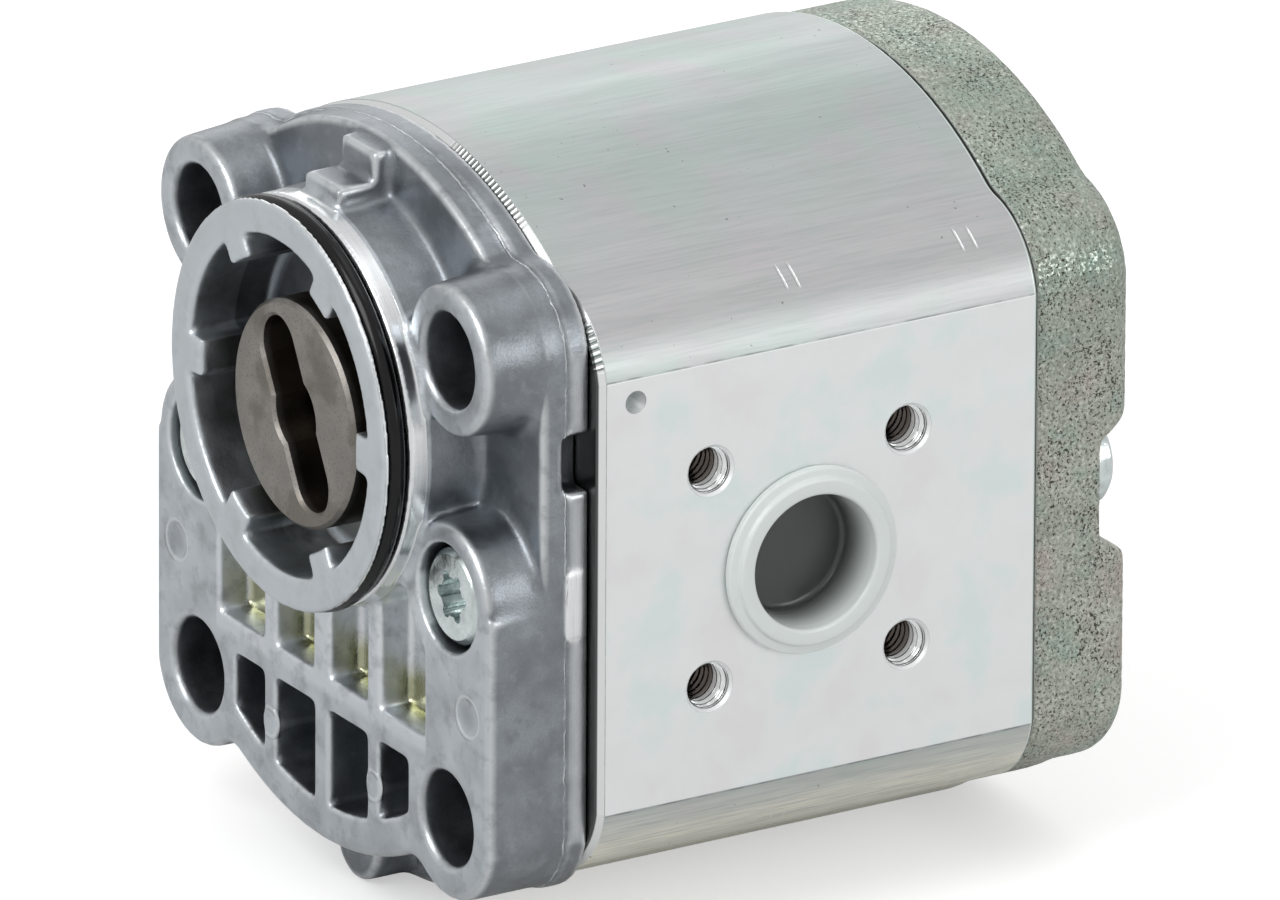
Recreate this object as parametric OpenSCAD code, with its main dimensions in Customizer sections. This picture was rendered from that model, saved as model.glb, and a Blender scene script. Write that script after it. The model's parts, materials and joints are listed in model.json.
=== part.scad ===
// External gear pump with a four-hole flange, a round pilot and a tang drive.
// Origin: centre of the mounting holes in the mounting plane. -Y points to the engine,
// +X to the suction port, +Z up. All sizes are in millimetres.

/* [Main sizes] */
// Length of the pump behind the mounting plane
pump_l = 91.7; // [90:0.1:97]
// Radius of the body's upper and lower arcs, which both covers follow
arc_r = 53.7; // [53.25:0.25:54.5]
// How far the centres of the upper and lower arcs lie beyond the middle of the pump
arc_drop = 4.7; // [4.4:0.1:5]
// Distance between the mounting holes, across and up
hole_pitch = 60; // [58:0.5:62]
// Bore of a mounting hole in the front cover
mount_hole_d = 12; // [11:0.5:12.5]
// Bore of the same hole through the body and the end cover
through_hole_d = 11; // [10:0.5:11.5]
// Diameter of the pilot that centres the pump
pilot_d = 52; // [51:0.5:54]
// Height of the pilot in front of the mounting plane
pilot_h = 6.4; // [5.6:0.2:7]

/* [Front cover] */
// Thickness of the cover from the mounting plane to the body
cover_t = 14; // [13.4:0.2:15]
// Depth of the open upper half behind the mounting plane
recess_depth = 7.5; // [6.5:0.25:8]
// How far the cover's rim lies inside the body's arcs
cover_step = 0.2; // [0.1:0.1:0.5]
// How far the cover's front half lies inside its rim at the top, and at the bottom
front_top_step = 0.5; // [0.3:0.1:0.8]
front_bottom_step = 5.9; // [5.4:0.1:6.4]
// How far the cover's sides stand outside its bosses
side_margin = 0.6; // [0.5:0.1:1]
// Outer radius of a mounting boss
boss_r = 10; // [9:0.25:10.5]
// Wall between the pockets and the outer edge
rim_wall = 5; // [4:0.25:5.5]
// Depth of the lower pockets
deep_pocket = 9.5; // [8.5:0.25:10.5]
// Depth of the upper pockets
shallow_pocket = 4.8; // [4:0.2:5.6]
// Radius of the round space inside the pilot
cavity_r = 21.5; // [21:0.1:22]
// Depth of that space behind the mounting plane
cavity_depth = 5; // [4.6:0.1:5.2]
// Number of centring lugs inside the pilot
lug_count = 6; // [4:1:8]
// Radius at which the lugs end
lug_tip_r = 18.5; // [18.2:0.1:19]
// Width of a lug
lug_w = 5; // [4:0.25:6]

/* [Body] */
// Distance between the two port faces
port_faces_w = 86; // [85:0.5:88]
// Radius of the body's four shoulders
shoulder_r = 12.6; // [12.2:0.1:13]
// Height of the shoulders' centres over the pump's centre
shoulder_z = 25.9; // [25.5:0.1:26.5]
// Radius of the hollow between a shoulder and the arc beside it
shoulder_blend = 8; // [6:0.5:10]
// Chamfer round the two ends of the body
body_chamfer = 1; // [0.6:0.1:1.4]

/* [Ports] */
// Distance of the port axis behind the mounting plane
port_y = 44; // [43.5:0.25:45]
// Bore of the suction port
suction_d = 20; // [18:0.5:20.5]
// Bolt circle round the suction port
suction_pcd = 40; // [39:0.5:41]
// Bore of the pressure port
pressure_d = 15; // [13:0.5:16]
// Bolt circle round the pressure port
pressure_pcd = 35; // [34:0.5:36]
// Diameter of the tapped holes round the ports
port_bolt_d = 6; // [5:0.5:6.5]
// Depth of those holes
port_bolt_depth = 13; // [11:0.5:14]

/* [End cover] */
// Thickness of the end cover
end_t = 14.7; // [13.5:0.1:16]
// How far the end cover lies inside the body's arcs
end_step = 0.4; // [0.2:0.1:0.6]
// Width of the end cover
end_w = 84; // [83:0.5:85.5]
// Radius of the rounded rear edge
end_edge_r = 3.2; // [2:0.2:4]
// Depth of the groove across the rear face
groove_depth = 4.6; // [4:0.2:5.4]
// Height of the groove at its floor
groove_h = 13; // [12.8:0.2:15]

/* [Gears] */
// Module of the gear teeth
gear_module = 2.5; // [2.45:0.01:2.53]
// Teeth on each gear
teeth = 12; // [11:1:12]
// Profile shift of both gears, in modules
profile_shift = 0.223; // [0.18:0.01:0.26]
// Width of the gears
gear_w = 17; // [14:0.5:18]
// Backlash between the flanks
backlash = 0.12; // [0.08:0.01:0.2]

/* [Shafts and bearings] */
// Diameter of both shafts
shaft_d = 18; // [16:0.25:18.5]
// Wall of the plain bearing bushes
bush_wall = 1.5; // [1.2:0.1:1.7]
// Outer diameter of the shaft seal
seal_d = 28; // [26.5:0.5:29]
// Width of the shaft seal
seal_w = 5.9; // [5.4:0.1:6]

/* [Coupling disc] */
// Diameter of the coupling disc
disc_d = 29; // [28:0.5:30]
// Thickness of the coupling disc
disc_t = 9; // [8.4:0.1:9.4]
// Width of the driving slot
slot_w = 8; // [7:0.25:8.5]
// Length of the driving slot over its round ends
slot_l = 25; // [24.4:0.2:25.2]
// Round relief in the middle of the slot
slot_relief_d = 10; // [9:0.5:11]
// Turn of the slot from upright
slot_turn = 28; // [0:2:44]
// How far the disc hangs below the shaft along its slot
disc_drop = 1.45; // [0:0.05:2]

/* [Screws, dowels and plugs] */
// Thread diameter of the assembly screws
screw_d = 8; // [7:0.5:8]
// Head diameter of the assembly screws
screw_head_d = 12.2; // [11.6:0.1:12.4]
// Length of the screws' thread in the body
screw_grip = 17; // [15:0.5:18]
// Height of the front screws relative to the pump's centre
front_screw_z = -1; // [-1.4:0.2:0]
// Diameter of the dowel pins
dowel_d = 6; // [5:0.5:6.5]
// Length of the dowel pins
dowel_l = 10; // [9:0.5:11]
// Depth of the cup in a port plug
plug_cup = 6.4; // [5.5:0.1:7]
// Wall of a port plug
plug_wall = 1.35; // [1:0.05:1.6]
// Height of a plug's flange over the port face
plug_flange_t = 1.3; // [1:0.1:1.8]

/* [Fits] */
// Radial clearance of shafts, gears and screws
run_gap = 0.05; // [0.03:0.01:0.1]
// Clearance of seals, plugs and driving flats
fit_gap = 0.1; // [0.06:0.01:0.16]

/* [Hidden] */
$fn = 96;

hole_at = hole_pitch / 2;
body_y0 = cover_t;
body_y1 = pump_l - end_t;
end_y1 = pump_l;
// How much wider the cast bosses and the collar are at their foot than half way
draft = 0.4;
// Cover: top of its rim, outline of its front half, and half widths of its rear flange and front
cover_arc_r = arc_r - cover_step;
rim_z = cover_arc_r - arc_drop;
front_arc_r = rim_z - (front_top_step + front_bottom_step) / 2;
front_arc_z = (front_bottom_step - front_top_step) / 2;
flange_x = hole_at + boss_r + side_margin;
front_x = flange_x - draft;
// How much more a lobe's radius is than its distance to the flat that cuts it
lobe_cut = 0.2;

// Gear geometry: standard involutes at the centre distance that the profile shift gives
pressure_angle = 20;
function inv(a) = tan(a) - a * PI / 180;
function inv_angle(v, a = 24, n = 12) =
    n == 0 ? a : inv_angle(v, a - (inv(a) - v) / pow(tan(a), 2) * 180 / PI, n - 1);
pitch_r = gear_module * teeth / 2;
base_r = pitch_r * cos(pressure_angle);
working_angle = inv_angle(inv(pressure_angle) + 2 * profile_shift * tan(pressure_angle) / teeth);
axis_gap = 2 * base_r / cos(working_angle);
root_r = pitch_r - gear_module * (1.25 - profile_shift);
tip_r = axis_gap - root_r - gear_module / 4;
drive_z = axis_gap / 2;
driven_z = -drive_z;
gear_y0 = port_y - gear_w / 2;
gear_y1 = port_y + gear_w / 2;

shaft_r = shaft_d / 2;
bush_r = shaft_r + run_gap + bush_wall;
chamber_r = tip_r + run_gap;
block_r = chamber_r - run_gap;
pilot_r = pilot_d / 2;

// Shaft seal bore, from the cavity back to the wall in front of the body
seal_y1 = cover_t - 1.4;
seal_y0 = seal_y1 - seal_w;
seal_r = seal_d / 2;
ring_t = 1.2;
ring_y0 = seal_y0 - fit_gap - ring_t;
ring_r = seal_r + 0.7;

// O-ring on the pilot
o_ring_section_r = 1.3;
o_ring_y = -4.2;
o_ring_r = pilot_r + 0.15 - o_ring_section_r;

// Coupling disc: back face just in front of the cavity floor
disc_y1 = cavity_depth - 0.3;
disc_y0 = disc_y1 - disc_t;
tang_y0 = 0.8;
tang_r = slot_w / 2 - fit_gap;
disc_x = disc_drop * sin(slot_turn);
disc_z = drive_z - disc_drop * cos(slot_turn);

// Screws stand over and under each other with the mounting holes
screw_x = hole_at;
screw_r = screw_d / 2;
head_r = screw_head_d / 2;
counterbore_r = head_r + 0.8;
counterbore_depth = 6.6;
front_head_h = 5.8;
rear_head_h = 5.6;
groove_y = end_y1 - groove_depth;
screw_hole_l = screw_grip + 1.5;

// Dowels stand on a diagonal, partly in the cover and partly in the body
dowel_x = hole_at + 2.5;
dowel_z = 15.5;
dowel_in_cover = 0.45 * dowel_l;
dowel_in_body = 0.55 * dowel_l;
dowel_edge = dowel_d / 12;

// Seal grooves in the body's end faces
seal_land = 3.2;
case_seal_w = 2.4;
case_seal_r0 = chamber_r + seal_land;
case_seal_r1 = case_seal_r0 + case_seal_w;
case_seal_depth = 1.6;
// Seal grooves in the outer faces of the bearing blocks
bush_land = 3.6;
block_land = 1.1;
field_r0 = bush_r + bush_land;
field_r1 = block_r - block_land;
field_depth = 1.5;
// The seals are open on the pressure side, from field_x on, and their bar ends at field_bar_x
field_x = -6;
field_bar_x = 7;
field_bar_h = 0.5;
support_w = 0.9;

// Extrudes a shape of the X-Z plane from y0 to y1
module along_y(y0, y1) {
    translate([0, y1, 0]) rotate([90, 0, 0]) linear_extrude(y1 - y0) children();
}

// Round bar along Y
module bar(x, z, r, y0, y1) {
    translate([x, y0, z]) rotate([-90, 0, 0]) cylinder(h = y1 - y0, r = r);
}

// Turns a profile of (radius, y) points about the line through x, z along Y
module turned(x = 0, z = 0) {
    translate([x, 0, z]) rotate([-90, 0, 0]) rotate_extrude() children();
}

// Places children at the four mounting holes
module at_holes() {
    for (sx = [-1, 1], sz = [-1, 1]) translate([sx * hole_at, 0, sz * hole_at]) children();
}

// Points of a worked end edge of size e on radius r: n = 1 is a chamfer, more points round it.
// side = -1 flares outwards, for the cutter of a hollow corner.
function edge_points(r, e, n, side) =
    e <= 0 ? [[r, 0]]
    : [for (i = [0:n]) let (a = 90 * i / n) [r - side * e * (1 - sin(a)), e * (1 - cos(a))]];
function reversed(list) = [for (i = [len(list) - 1:-1:0]) list[i]];
function wall_points(r, l, e0, e1, n, side) = concat(
    edge_points(r, e0, n, side),
    [for (p = reversed(edge_points(r, e1, n, side))) [p[0], l - p[1]]]
);

// Solid with arcs over and under, two flat sides and round shoulders, whose hollow corners have
// radius blend_r. The arcs' centres are drop beyond arc_z. e0 and e1 work its front and rear edges.
module housing(y0, y1, arc_r, arc_z, drop, half_w, lobe, lobe_r, blend_r, e0, e1, n, rows = [-1, 1]) {
    l = y1 - y0;
    module round_part(x, z, r) turned(x, z)
        translate([0, y0]) polygon(concat([[0, 0]], wall_points(r, l, e0, e1, n, 1), [[0, l]]));
    module corner(sx, sz) {
        centre = [0, arc_z - sz * drop];
        shoulder = [sx * lobe[0], sz * lobe[1]];
        reach = shoulder - centre;
        d = norm(reach);
        d0 = arc_r + blend_r;
        d1 = lobe_r + blend_r;
        along = (d0 * d0 - d1 * d1 + d * d) / (2 * d);
        across = sqrt(d0 * d0 - along * along);
        u = reach / d;
        hollow = centre + u * along + [-u[1], u[0]] * across * sx * sz;
        // The hollow is cut a hair larger, so that it crosses both arcs and doesn't graze them
        hollow_r = blend_r + 0.03;
        difference() {
            along_y(y0, y1) polygon([centre, shoulder, hollow]);
            turned(hollow[0], hollow[1]) translate([0, y0]) polygon(concat(
                [[0, -1], [hollow_r + e0, -1]],
                wall_points(hollow_r, l, e0, e1, n, -1),
                [[hollow_r + e1, l + 1], [0, l + 1]]
            ));
        }
    }
    intersection() {
        union() {
            intersection_for(side = drop > 0 ? [-1, 1] : [0]) round_part(0, arc_z + side * drop, arc_r);
            // Block between the shoulders, so that the sides are flat from one to the other
            low = min(rows) * lobe[1];
            translate([-half_w - 1, y0, low]) cube([2 * half_w + 2, l, max(0, max(rows) * lobe[1]) - low]);
            for (sx = [-1, 1], sz = rows) {
                round_part(sx * lobe[0], sz * lobe[1], lobe_r);
                corner(sx, sz);
            }
        }
        flank = wall_points(half_w, l, e0, e1, n, 1);
        translate([0, y0, -2 * arc_r]) linear_extrude(4 * arc_r)
            polygon(concat(flank, [for (p = reversed(flank)) [-p[0], p[1]]]));
    }
}

// Ring round both gear axes, between two radii
module two_hole_outline(r) {
    for (z = [drive_z, driven_z]) translate([0, z]) circle(r);
}

// Long round outline that encloses both gear axes
module stadium(r) {
    two_hole_outline(r);
    square([2 * r, axis_gap], center = true);
}

// FRONT COVER

boss_place = [hole_at, hole_at];
mid_y = 10.7;
cast_edge = 0.8;
flange_edge = 0.3;
plate_edge = 0.6;
foot_blend = 5;
// Inner and outer X of the pockets: two below on each side of the middle rib, and two above them
lower_pockets = [[1.8, 11], [13.8, 20.8]];
upper_pockets = [[2, 11], [14, 24.7]];
upper_pocket_top = 3;
lower_pocket_top = -25.2;
upper_pocket_floor = -21;
rib_x = 12.4;
rib_mark_r = 1.9;
upper_lug_w = 8.4;
lug_lift = 2.4;
lower_lug_r = 5;
// Marks of the ejector pins, notches for levering the cover off, and flat pads on its sides
ejector_place = [35, -15];
ejector_r = 2.6;
ejector_depth = 0.25;
notch_z = 14;
notch_h = 7.3;
notch_depth = 3.4;
pad_z = -4.9;
pad_h = 8.3;
pad_l = 2.4;

// Plate against the body, with the parting line at mid_y
module cover_plate() {
    housing(mid_y, cover_t, cover_arc_r, 0, arc_drop, flange_x, boss_place,
        boss_r + side_margin + lobe_cut, foot_blend, flange_edge, 0, 1);
    housing(recess_depth, mid_y, front_arc_r + flange_edge, front_arc_z, 0, front_x, boss_place,
        boss_r + draft, foot_blend, plate_edge, 0, 3);
}

// Full-height lower half, from the mounting plane back
module cover_lower_block() {
    intersection() {
        housing(0, mid_y, front_arc_r, front_arc_z, 0, front_x, boss_place,
            boss_r + draft, foot_blend - 1, cast_edge, 0, 3, [-1]);
        translate([-2 * flange_x, -1, -2 * cover_arc_r])
            cube([4 * flange_x, cover_t, 2 * cover_arc_r + front_screw_z]);
    }
}

// Tapered round boss, from the mounting plane back into the plate
module cover_boss(x, z) {
    turned(x, z) polygon(concat(
        [[0, 0]], edge_points(boss_r - draft, cast_edge, 3, 1), [[boss_r + draft, mid_y], [0, mid_y]]
    ));
}

// Collar that carries the pilot
pilot_edge = 0.4;
module cover_collar() {
    turned(0, drive_z) polygon([
        [0, -pilot_h], [pilot_r - pilot_edge, -pilot_h], [pilot_r, -pilot_h + pilot_edge],
        [pilot_r, 0], [pilot_r + 1.5 * draft, recess_depth], [pilot_r + 1.5 * draft, mid_y], [0, mid_y]
    ]);
}

// Cast lugs on the centre line, over and under the collar
module cover_lugs() {
    lug_top = drive_z + pilot_r + lug_lift;
    lug_root = drive_z + cavity_r;
    translate([-upper_lug_w / 2, 0, lug_root]) cube([upper_lug_w, recess_depth, lug_top - lug_root]);
    translate([-upper_lug_w / 2, recess_depth - lug_lift, lug_root])
        cube([upper_lug_w, lug_lift + 1, rim_z - 1.1 - lug_root]);
    bar(0, lower_lug_r - rim_z - draft, lower_lug_r, recess_depth - lug_lift, mid_y);
}

// Pockets in the front face: two rows, divided by upright ribs
module cover_pockets() {
    pocket_r = front_arc_r - rim_wall;
    mark_z = (lower_pocket_top - pocket_r + front_arc_z) / 2;
    for (s = [-1, 1]) {
        along_y(-1, deep_pocket) difference() {
            intersection() {
                translate([0, front_arc_z]) circle(pocket_r);
                for (x = lower_pockets) side_square(s, x, -2 * pocket_r, lower_pocket_top);
            }
            translate([s * rib_x, mark_z]) circle(rib_mark_r);
        }
        along_y(-1, shallow_pocket) difference() {
            side_square(s, upper_pockets[0], upper_pocket_floor, upper_pocket_top);
            pocket_limits(s);
        }
        along_y(-1, shallow_pocket) difference() {
            side_square(s, upper_pockets[1], upper_pocket_floor, -upper_pocket_top);
            pocket_limits(s);
        }
        bar(s * ejector_place[0], ejector_place[1], ejector_r, -1, ejector_depth);
    }
}

// Square between two X values and two Z values, on side s
module side_square(s, x, z0, z1) {
    translate([s > 0 ? x[0] : -x[1], z0]) square([x[1] - x[0], z1 - z0]);
}

// Collar and screw boss, which the upper pockets leave whole
module pocket_limits(s) {
    translate([0, drive_z]) circle(pilot_r + 0.3);
    translate([s * screw_x, front_screw_z]) circle(boss_r);
}

// Space for the coupling disc inside the pilot, with the centring lugs left standing
module cover_cavity() {
    along_y(-pilot_h - 1, cavity_depth) translate([0, drive_z]) difference() {
        circle(cavity_r);
        difference() {
            for (i = [0:lug_count - 1]) rotate(i * 360 / lug_count)
                translate([lug_tip_r / 2, -lug_w / 2]) square([cavity_r, lug_w]);
            circle(lug_tip_r);
        }
    }
}

module front_cover() {
    color("#9aa0a6") difference() {
        union() {
            cover_plate();
            cover_lower_block();
            for (s = [-1, 1]) {
                cover_boss(s * hole_at, hole_at);
                cover_boss(s * screw_x, front_screw_z);
            }
            cover_collar();
            cover_lugs();
            // Pads on both sides of the rear half
            pad_x = flange_x + lobe_cut;
            translate([-pad_x, mid_y, pad_z]) cube([2 * pad_x, pad_l, pad_h]);
        }
        cover_pockets();
        cover_cavity();
        // Groove of the pilot's O-ring
        turned(0, drive_z) translate([o_ring_r - o_ring_section_r - run_gap, o_ring_y - 1.4])
            square([2 * o_ring_section_r + 1, 2.8]);
        // Seal bore, groove of the retaining ring and hole of the shaft
        bar(0, drive_z, seal_r, cavity_depth - 1, seal_y1);
        bar(0, drive_z, ring_r + fit_gap, ring_y0 - run_gap, seal_y0 - run_gap);
        bar(0, drive_z, shaft_r + 0.6, cavity_depth, cover_t + 1);
        at_holes() {
            bar(0, 0, mount_hole_d / 2, -1, cover_t + 1);
            turned() polygon([[0, -1], [mount_hole_d / 2 + 1.5, -1], [mount_hole_d / 2, 0.5], [0, 0.5]]);
        }
        for (s = [-1, 1]) {
            bar(s * screw_x, front_screw_z, counterbore_r, -1, counterbore_depth);
            bar(s * screw_x, front_screw_z, screw_r + 0.4, 0, cover_t + 1);
            // Notch for levering the cover off
            translate([s > 0 ? flange_x - notch_depth : -flange_x - 1, mid_y, notch_z])
                cube([notch_depth + 1, cover_t, notch_h]);
            front_dowel_places(s) bar(0, 0, dowel_d / 2, cover_t - dowel_in_cover - fit_gap, cover_t + 1);
        }
    }
}

// BODY

module front_dowel_places(s) {
    translate([s * dowel_x, 0, -s * dowel_z]) children();
}
module rear_dowel_places(s) {
    translate([s * dowel_x, 0, s * dowel_z]) children();
}

// Bore and four tapped holes of a port. The bore ends inside the gear chamber.
bore_end_x = 8;
drill_tip = 1.6;
thread_bevel = 0.4;
module port_holes(side, bore_d, pcd) {
    face = side * port_faces_w / 2;
    r = port_bolt_d / 2;
    translate([face, port_y, 0]) rotate([0, -90 * side, 0]) {
        translate([0, 0, -1]) cylinder(h = port_faces_w / 2 + 1 - bore_end_x, r = bore_d / 2);
        for (a = [45:90:315]) rotate(a) translate([pcd / 2, 0, 0]) {
            translate([0, 0, -1]) cylinder(h = port_bolt_depth + 1, r = r);
            translate([0, 0, port_bolt_depth]) cylinder(h = drill_tip, r1 = r, r2 = 0);
            translate([0, 0, -thread_bevel])
                cylinder(h = 2 * thread_bevel, r1 = r + 2 * thread_bevel, r2 = r);
        }
    }
}

// Cone of a centre punch on the suction face, with its tip punch_r below it
punch_place = [5.1, 25.2];
punch_r = 1.5;

module pump_body() {
    shoulder = [port_faces_w / 2 - shoulder_r + lobe_cut, shoulder_z];
    color("#c9cfcf") difference() {
        housing(body_y0, body_y1, arc_r, 0, arc_drop, port_faces_w / 2, shoulder,
            shoulder_r, shoulder_blend, body_chamfer, body_chamfer * 0.6, 1);
        along_y(body_y0 - 1, body_y1 + 1) two_hole_outline(chamber_r);
        port_holes(1, suction_d, suction_pcd);
        port_holes(-1, pressure_d, pressure_pcd);
        at_holes() bar(0, 0, through_hole_d / 2, body_y0 - 1, body_y1 + 1);
        for (s = [-1, 1]) {
            bar(s * screw_x, front_screw_z, screw_r + run_gap, body_y0 - 1, body_y0 + screw_hole_l);
            bar(s * screw_x, 0, screw_r + run_gap, body_y1 - screw_hole_l, body_y1 + 1);
            front_dowel_places(s) bar(0, 0, dowel_d / 2, body_y0 - 1, body_y0 + dowel_in_body + fit_gap);
            rear_dowel_places(s) bar(0, 0, dowel_d / 2, body_y1 - dowel_in_body - fit_gap, body_y1 + 1);
        }
        case_seal_groove(body_y0 - 1, body_y0 + case_seal_depth);
        case_seal_groove(body_y1 - case_seal_depth, body_y1 + 1);
        translate([port_faces_w / 2, body_y0 + punch_place[0], punch_place[1]]) rotate([0, -90, 0])
            translate([0, 0, -punch_r]) cylinder(h = 2 * punch_r, r1 = 2 * punch_r, r2 = 0);
    }
}

module case_seal_groove(y0, y1) {
    along_y(y0, y1) difference() {
        stadium(case_seal_r1 + fit_gap);
        stadium(case_seal_r0 - fit_gap);
    }
}

// END COVER

end_front_edge = 0.4;
groove_slope = 0.6;
module end_cover() {
    shoulder = [end_w / 2 - shoulder_r + lobe_cut, shoulder_z];
    groove_top = groove_h / 2 + (groove_depth + 1) * groove_slope;
    color("#8f978a") difference() {
        housing(body_y1, end_y1, arc_r - end_step, 0, arc_drop, end_w / 2, shoulder,
            shoulder_r, shoulder_blend, end_front_edge, end_edge_r, 5);
        // Groove across the rear face, with sloping sides
        translate([-end_w, 0, 0]) rotate([90, 0, 90]) linear_extrude(2 * end_w) polygon([
            [groove_y, -groove_h / 2], [end_y1 + 1, -groove_top],
            [end_y1 + 1, groove_top], [groove_y, groove_h / 2]
        ]);
        at_holes() bar(0, 0, through_hole_d / 2, body_y1 - 1, end_y1 + 1);
        for (s = [-1, 1]) {
            bar(s * screw_x, 0, screw_r + 0.4, body_y1 - 1, end_y1 + 1);
            rear_dowel_places(s) bar(0, 0, dowel_d / 2, body_y1 - 1, body_y1 + dowel_in_cover + fit_gap);
        }
    }
}

// GEARS AND SHAFTS

// Half angle of a tooth at radius r, in degrees
function tooth_half_angle(r) =
    (PI / (2 * teeth) + 2 * profile_shift * tan(pressure_angle) / teeth + inv(pressure_angle)
        - backlash / 4 / pitch_r - inv(acos(base_r / r))) * 180 / PI;
function polar(r, a) = [r * cos(a), r * sin(a)];

// Outline of a gear with a tooth centred on turn: root, flank, tip and flank of each tooth
flank_steps = 6;
module gear_outline(turn) {
    flank = [for (i = [0:flank_steps]) base_r + 0.01 + (tip_r - base_r - 0.01) * i / flank_steps];
    root_angle = tooth_half_angle(flank[0]) + 1.2;
    polygon([for (t = [0:teeth - 1]) let (c = turn + 360 * t / teeth) each concat(
        [polar(root_r, c - root_angle - 1.5), polar(root_r + 0.5, c - root_angle)],
        [for (r = flank) polar(r, c - tooth_half_angle(r))],
        [for (r = reversed(flank)) polar(r, c + tooth_half_angle(r))],
        [polar(root_r + 0.5, c + root_angle), polar(root_r, c + root_angle + 1.5)]
    )]);
}

// Gear and its two journals in one piece
module gear_on_shaft(z, turn, y0, y1) {
    along_y(gear_y0, gear_y1) translate([0, z]) gear_outline(turn);
    turned(0, z) polygon([
        [0, y0], [shaft_r - 0.6, y0], [shaft_r, y0 + 0.6], [shaft_r, y1 - 0.6], [shaft_r - 0.6, y1], [0, y1]
    ]);
}

module drive_gear_shaft() {
    color("#8d9196") {
        gear_on_shaft(drive_z, -90, cavity_depth, body_y1 - 0.4);
        // Tang that drives the pump, standing in the slot of the disc
        along_y(tang_y0, cavity_depth + 1) translate([0, drive_z]) rotate(slot_turn) intersection() {
            circle(shaft_r);
            round_slot(2 * shaft_r, tang_r);
        }
    }
}

module driven_gear_shaft() {
    color("#8d9196") gear_on_shaft(driven_z, 90 + 180 / teeth, body_y0 + 0.4, body_y1 - 0.4);
}

// Upright slot of length l with round ends of radius r
module round_slot(l, r) {
    square([2 * r, l - 2 * r], center = true);
    for (s = [-1, 1]) translate([0, s * (l / 2 - r)]) circle(r);
}

module coupling_disc() {
    color("#8a8580") difference() {
        turned(disc_x, disc_z) polygon([
            [0, disc_y0], [disc_d / 2 - 0.5, disc_y0], [disc_d / 2, disc_y0 + 0.5],
            [disc_d / 2, disc_y1 - 0.5], [disc_d / 2 - 0.5, disc_y1], [0, disc_y1]
        ]);
        translate([disc_x, 0, disc_z]) {
            along_y(disc_y0 - 1, disc_y1 + 1) {
                rotate(slot_turn) round_slot(slot_l, slot_w / 2);
                circle(slot_relief_d / 2);
            }
            rotate([0, -slot_turn, 0]) slot_bevel();
        }
    }
}

// Cutter that breaks the front edge of the upright slot and its relief
slot_edge = 0.45;
module slot_bevel() {
    r = slot_w / 2;
    straight = slot_l / 2 - r;
    module cone(r) turned() translate([0, disc_y0]) polygon([
        [0, -slot_edge], [r + 2 * slot_edge, -slot_edge], [r, slot_edge], [0, slot_edge]
    ]);
    for (s = [-1, 1]) translate([0, 0, s * straight]) cone(r);
    cone(slot_relief_d / 2);
    translate([0, disc_y0, -straight]) linear_extrude(2 * straight) polygon([
        [-r - 2 * slot_edge, -slot_edge], [r + 2 * slot_edge, -slot_edge], [r, slot_edge], [-r, slot_edge]
    ]);
}

// BEARING BLOCKS AND BUSHES

relief_x = 4.4;
relief_size = [4, 2.4, 8];
// Block between y0 and y1; outer is the face that lies on a cover
module bearing_block(y0, y1, outer) {
    gear_face = outer == y0 ? y1 : y0;
    step = outer == y0 ? 1 : -1;
    difference() {
        along_y(y0, y1) two_hole_outline(block_r);
        for (z = [drive_z, driven_z]) bar(0, z, bush_r, y0 - 1, y1 + 1);
        // Groove of the axial seal and its support
        along_y(min(outer - step, outer + step * field_depth), max(outer - step, outer + step * field_depth))
            field_ring(field_r0 - fit_gap, field_r1 + fit_gap, field_bar_h + fit_gap);
        // Pockets that relieve the trapped oil at the mesh
        for (s = [-1, 1]) translate([s * relief_x, gear_face, 0]) cube(relief_size, center = true);
    }
}

// Two joined rings with a bar between the axes, open towards the pressure port
module field_ring(r0, r1, bar_h) {
    intersection() {
        difference() {
            two_hole_outline(r1);
            two_hole_outline(r0);
        }
        suction_side();
    }
    translate([field_x, -bar_h]) square([field_bar_x - field_x, 2 * bar_h]);
}

// Everything on the suction side of field_x
module suction_side() {
    translate([field_x, -3 * block_r]) square([3 * block_r, 6 * block_r]);
}

module axial_seal(y0, y1) {
    color("#2b2b2d") along_y(y0, y1) field_ring(field_r0 + support_w + fit_gap, field_r1, field_bar_h);
}

module seal_support(y0, y1) {
    color("#e6e2d4") along_y(y0, y1) intersection() {
        difference() {
            two_hole_outline(field_r0 + support_w);
            two_hole_outline(field_r0);
            square([4 * block_r, 2 * (field_bar_h + fit_gap)], center = true);
        }
        suction_side();
    }
}

module front_bearing_block() {
    color("#b4b8bc") bearing_block(body_y0, gear_y0 - run_gap, body_y0);
}
module rear_bearing_block() {
    color("#b4b8bc") bearing_block(gear_y1 + run_gap, body_y1, body_y1);
}
module front_axial_seal() axial_seal(body_y0, body_y0 + field_depth - run_gap);
module rear_axial_seal() axial_seal(body_y1 - field_depth + run_gap, body_y1);
module front_seal_support() seal_support(body_y0, body_y0 + field_depth - run_gap);
module rear_seal_support() seal_support(body_y1 - field_depth + run_gap, body_y1);

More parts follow.
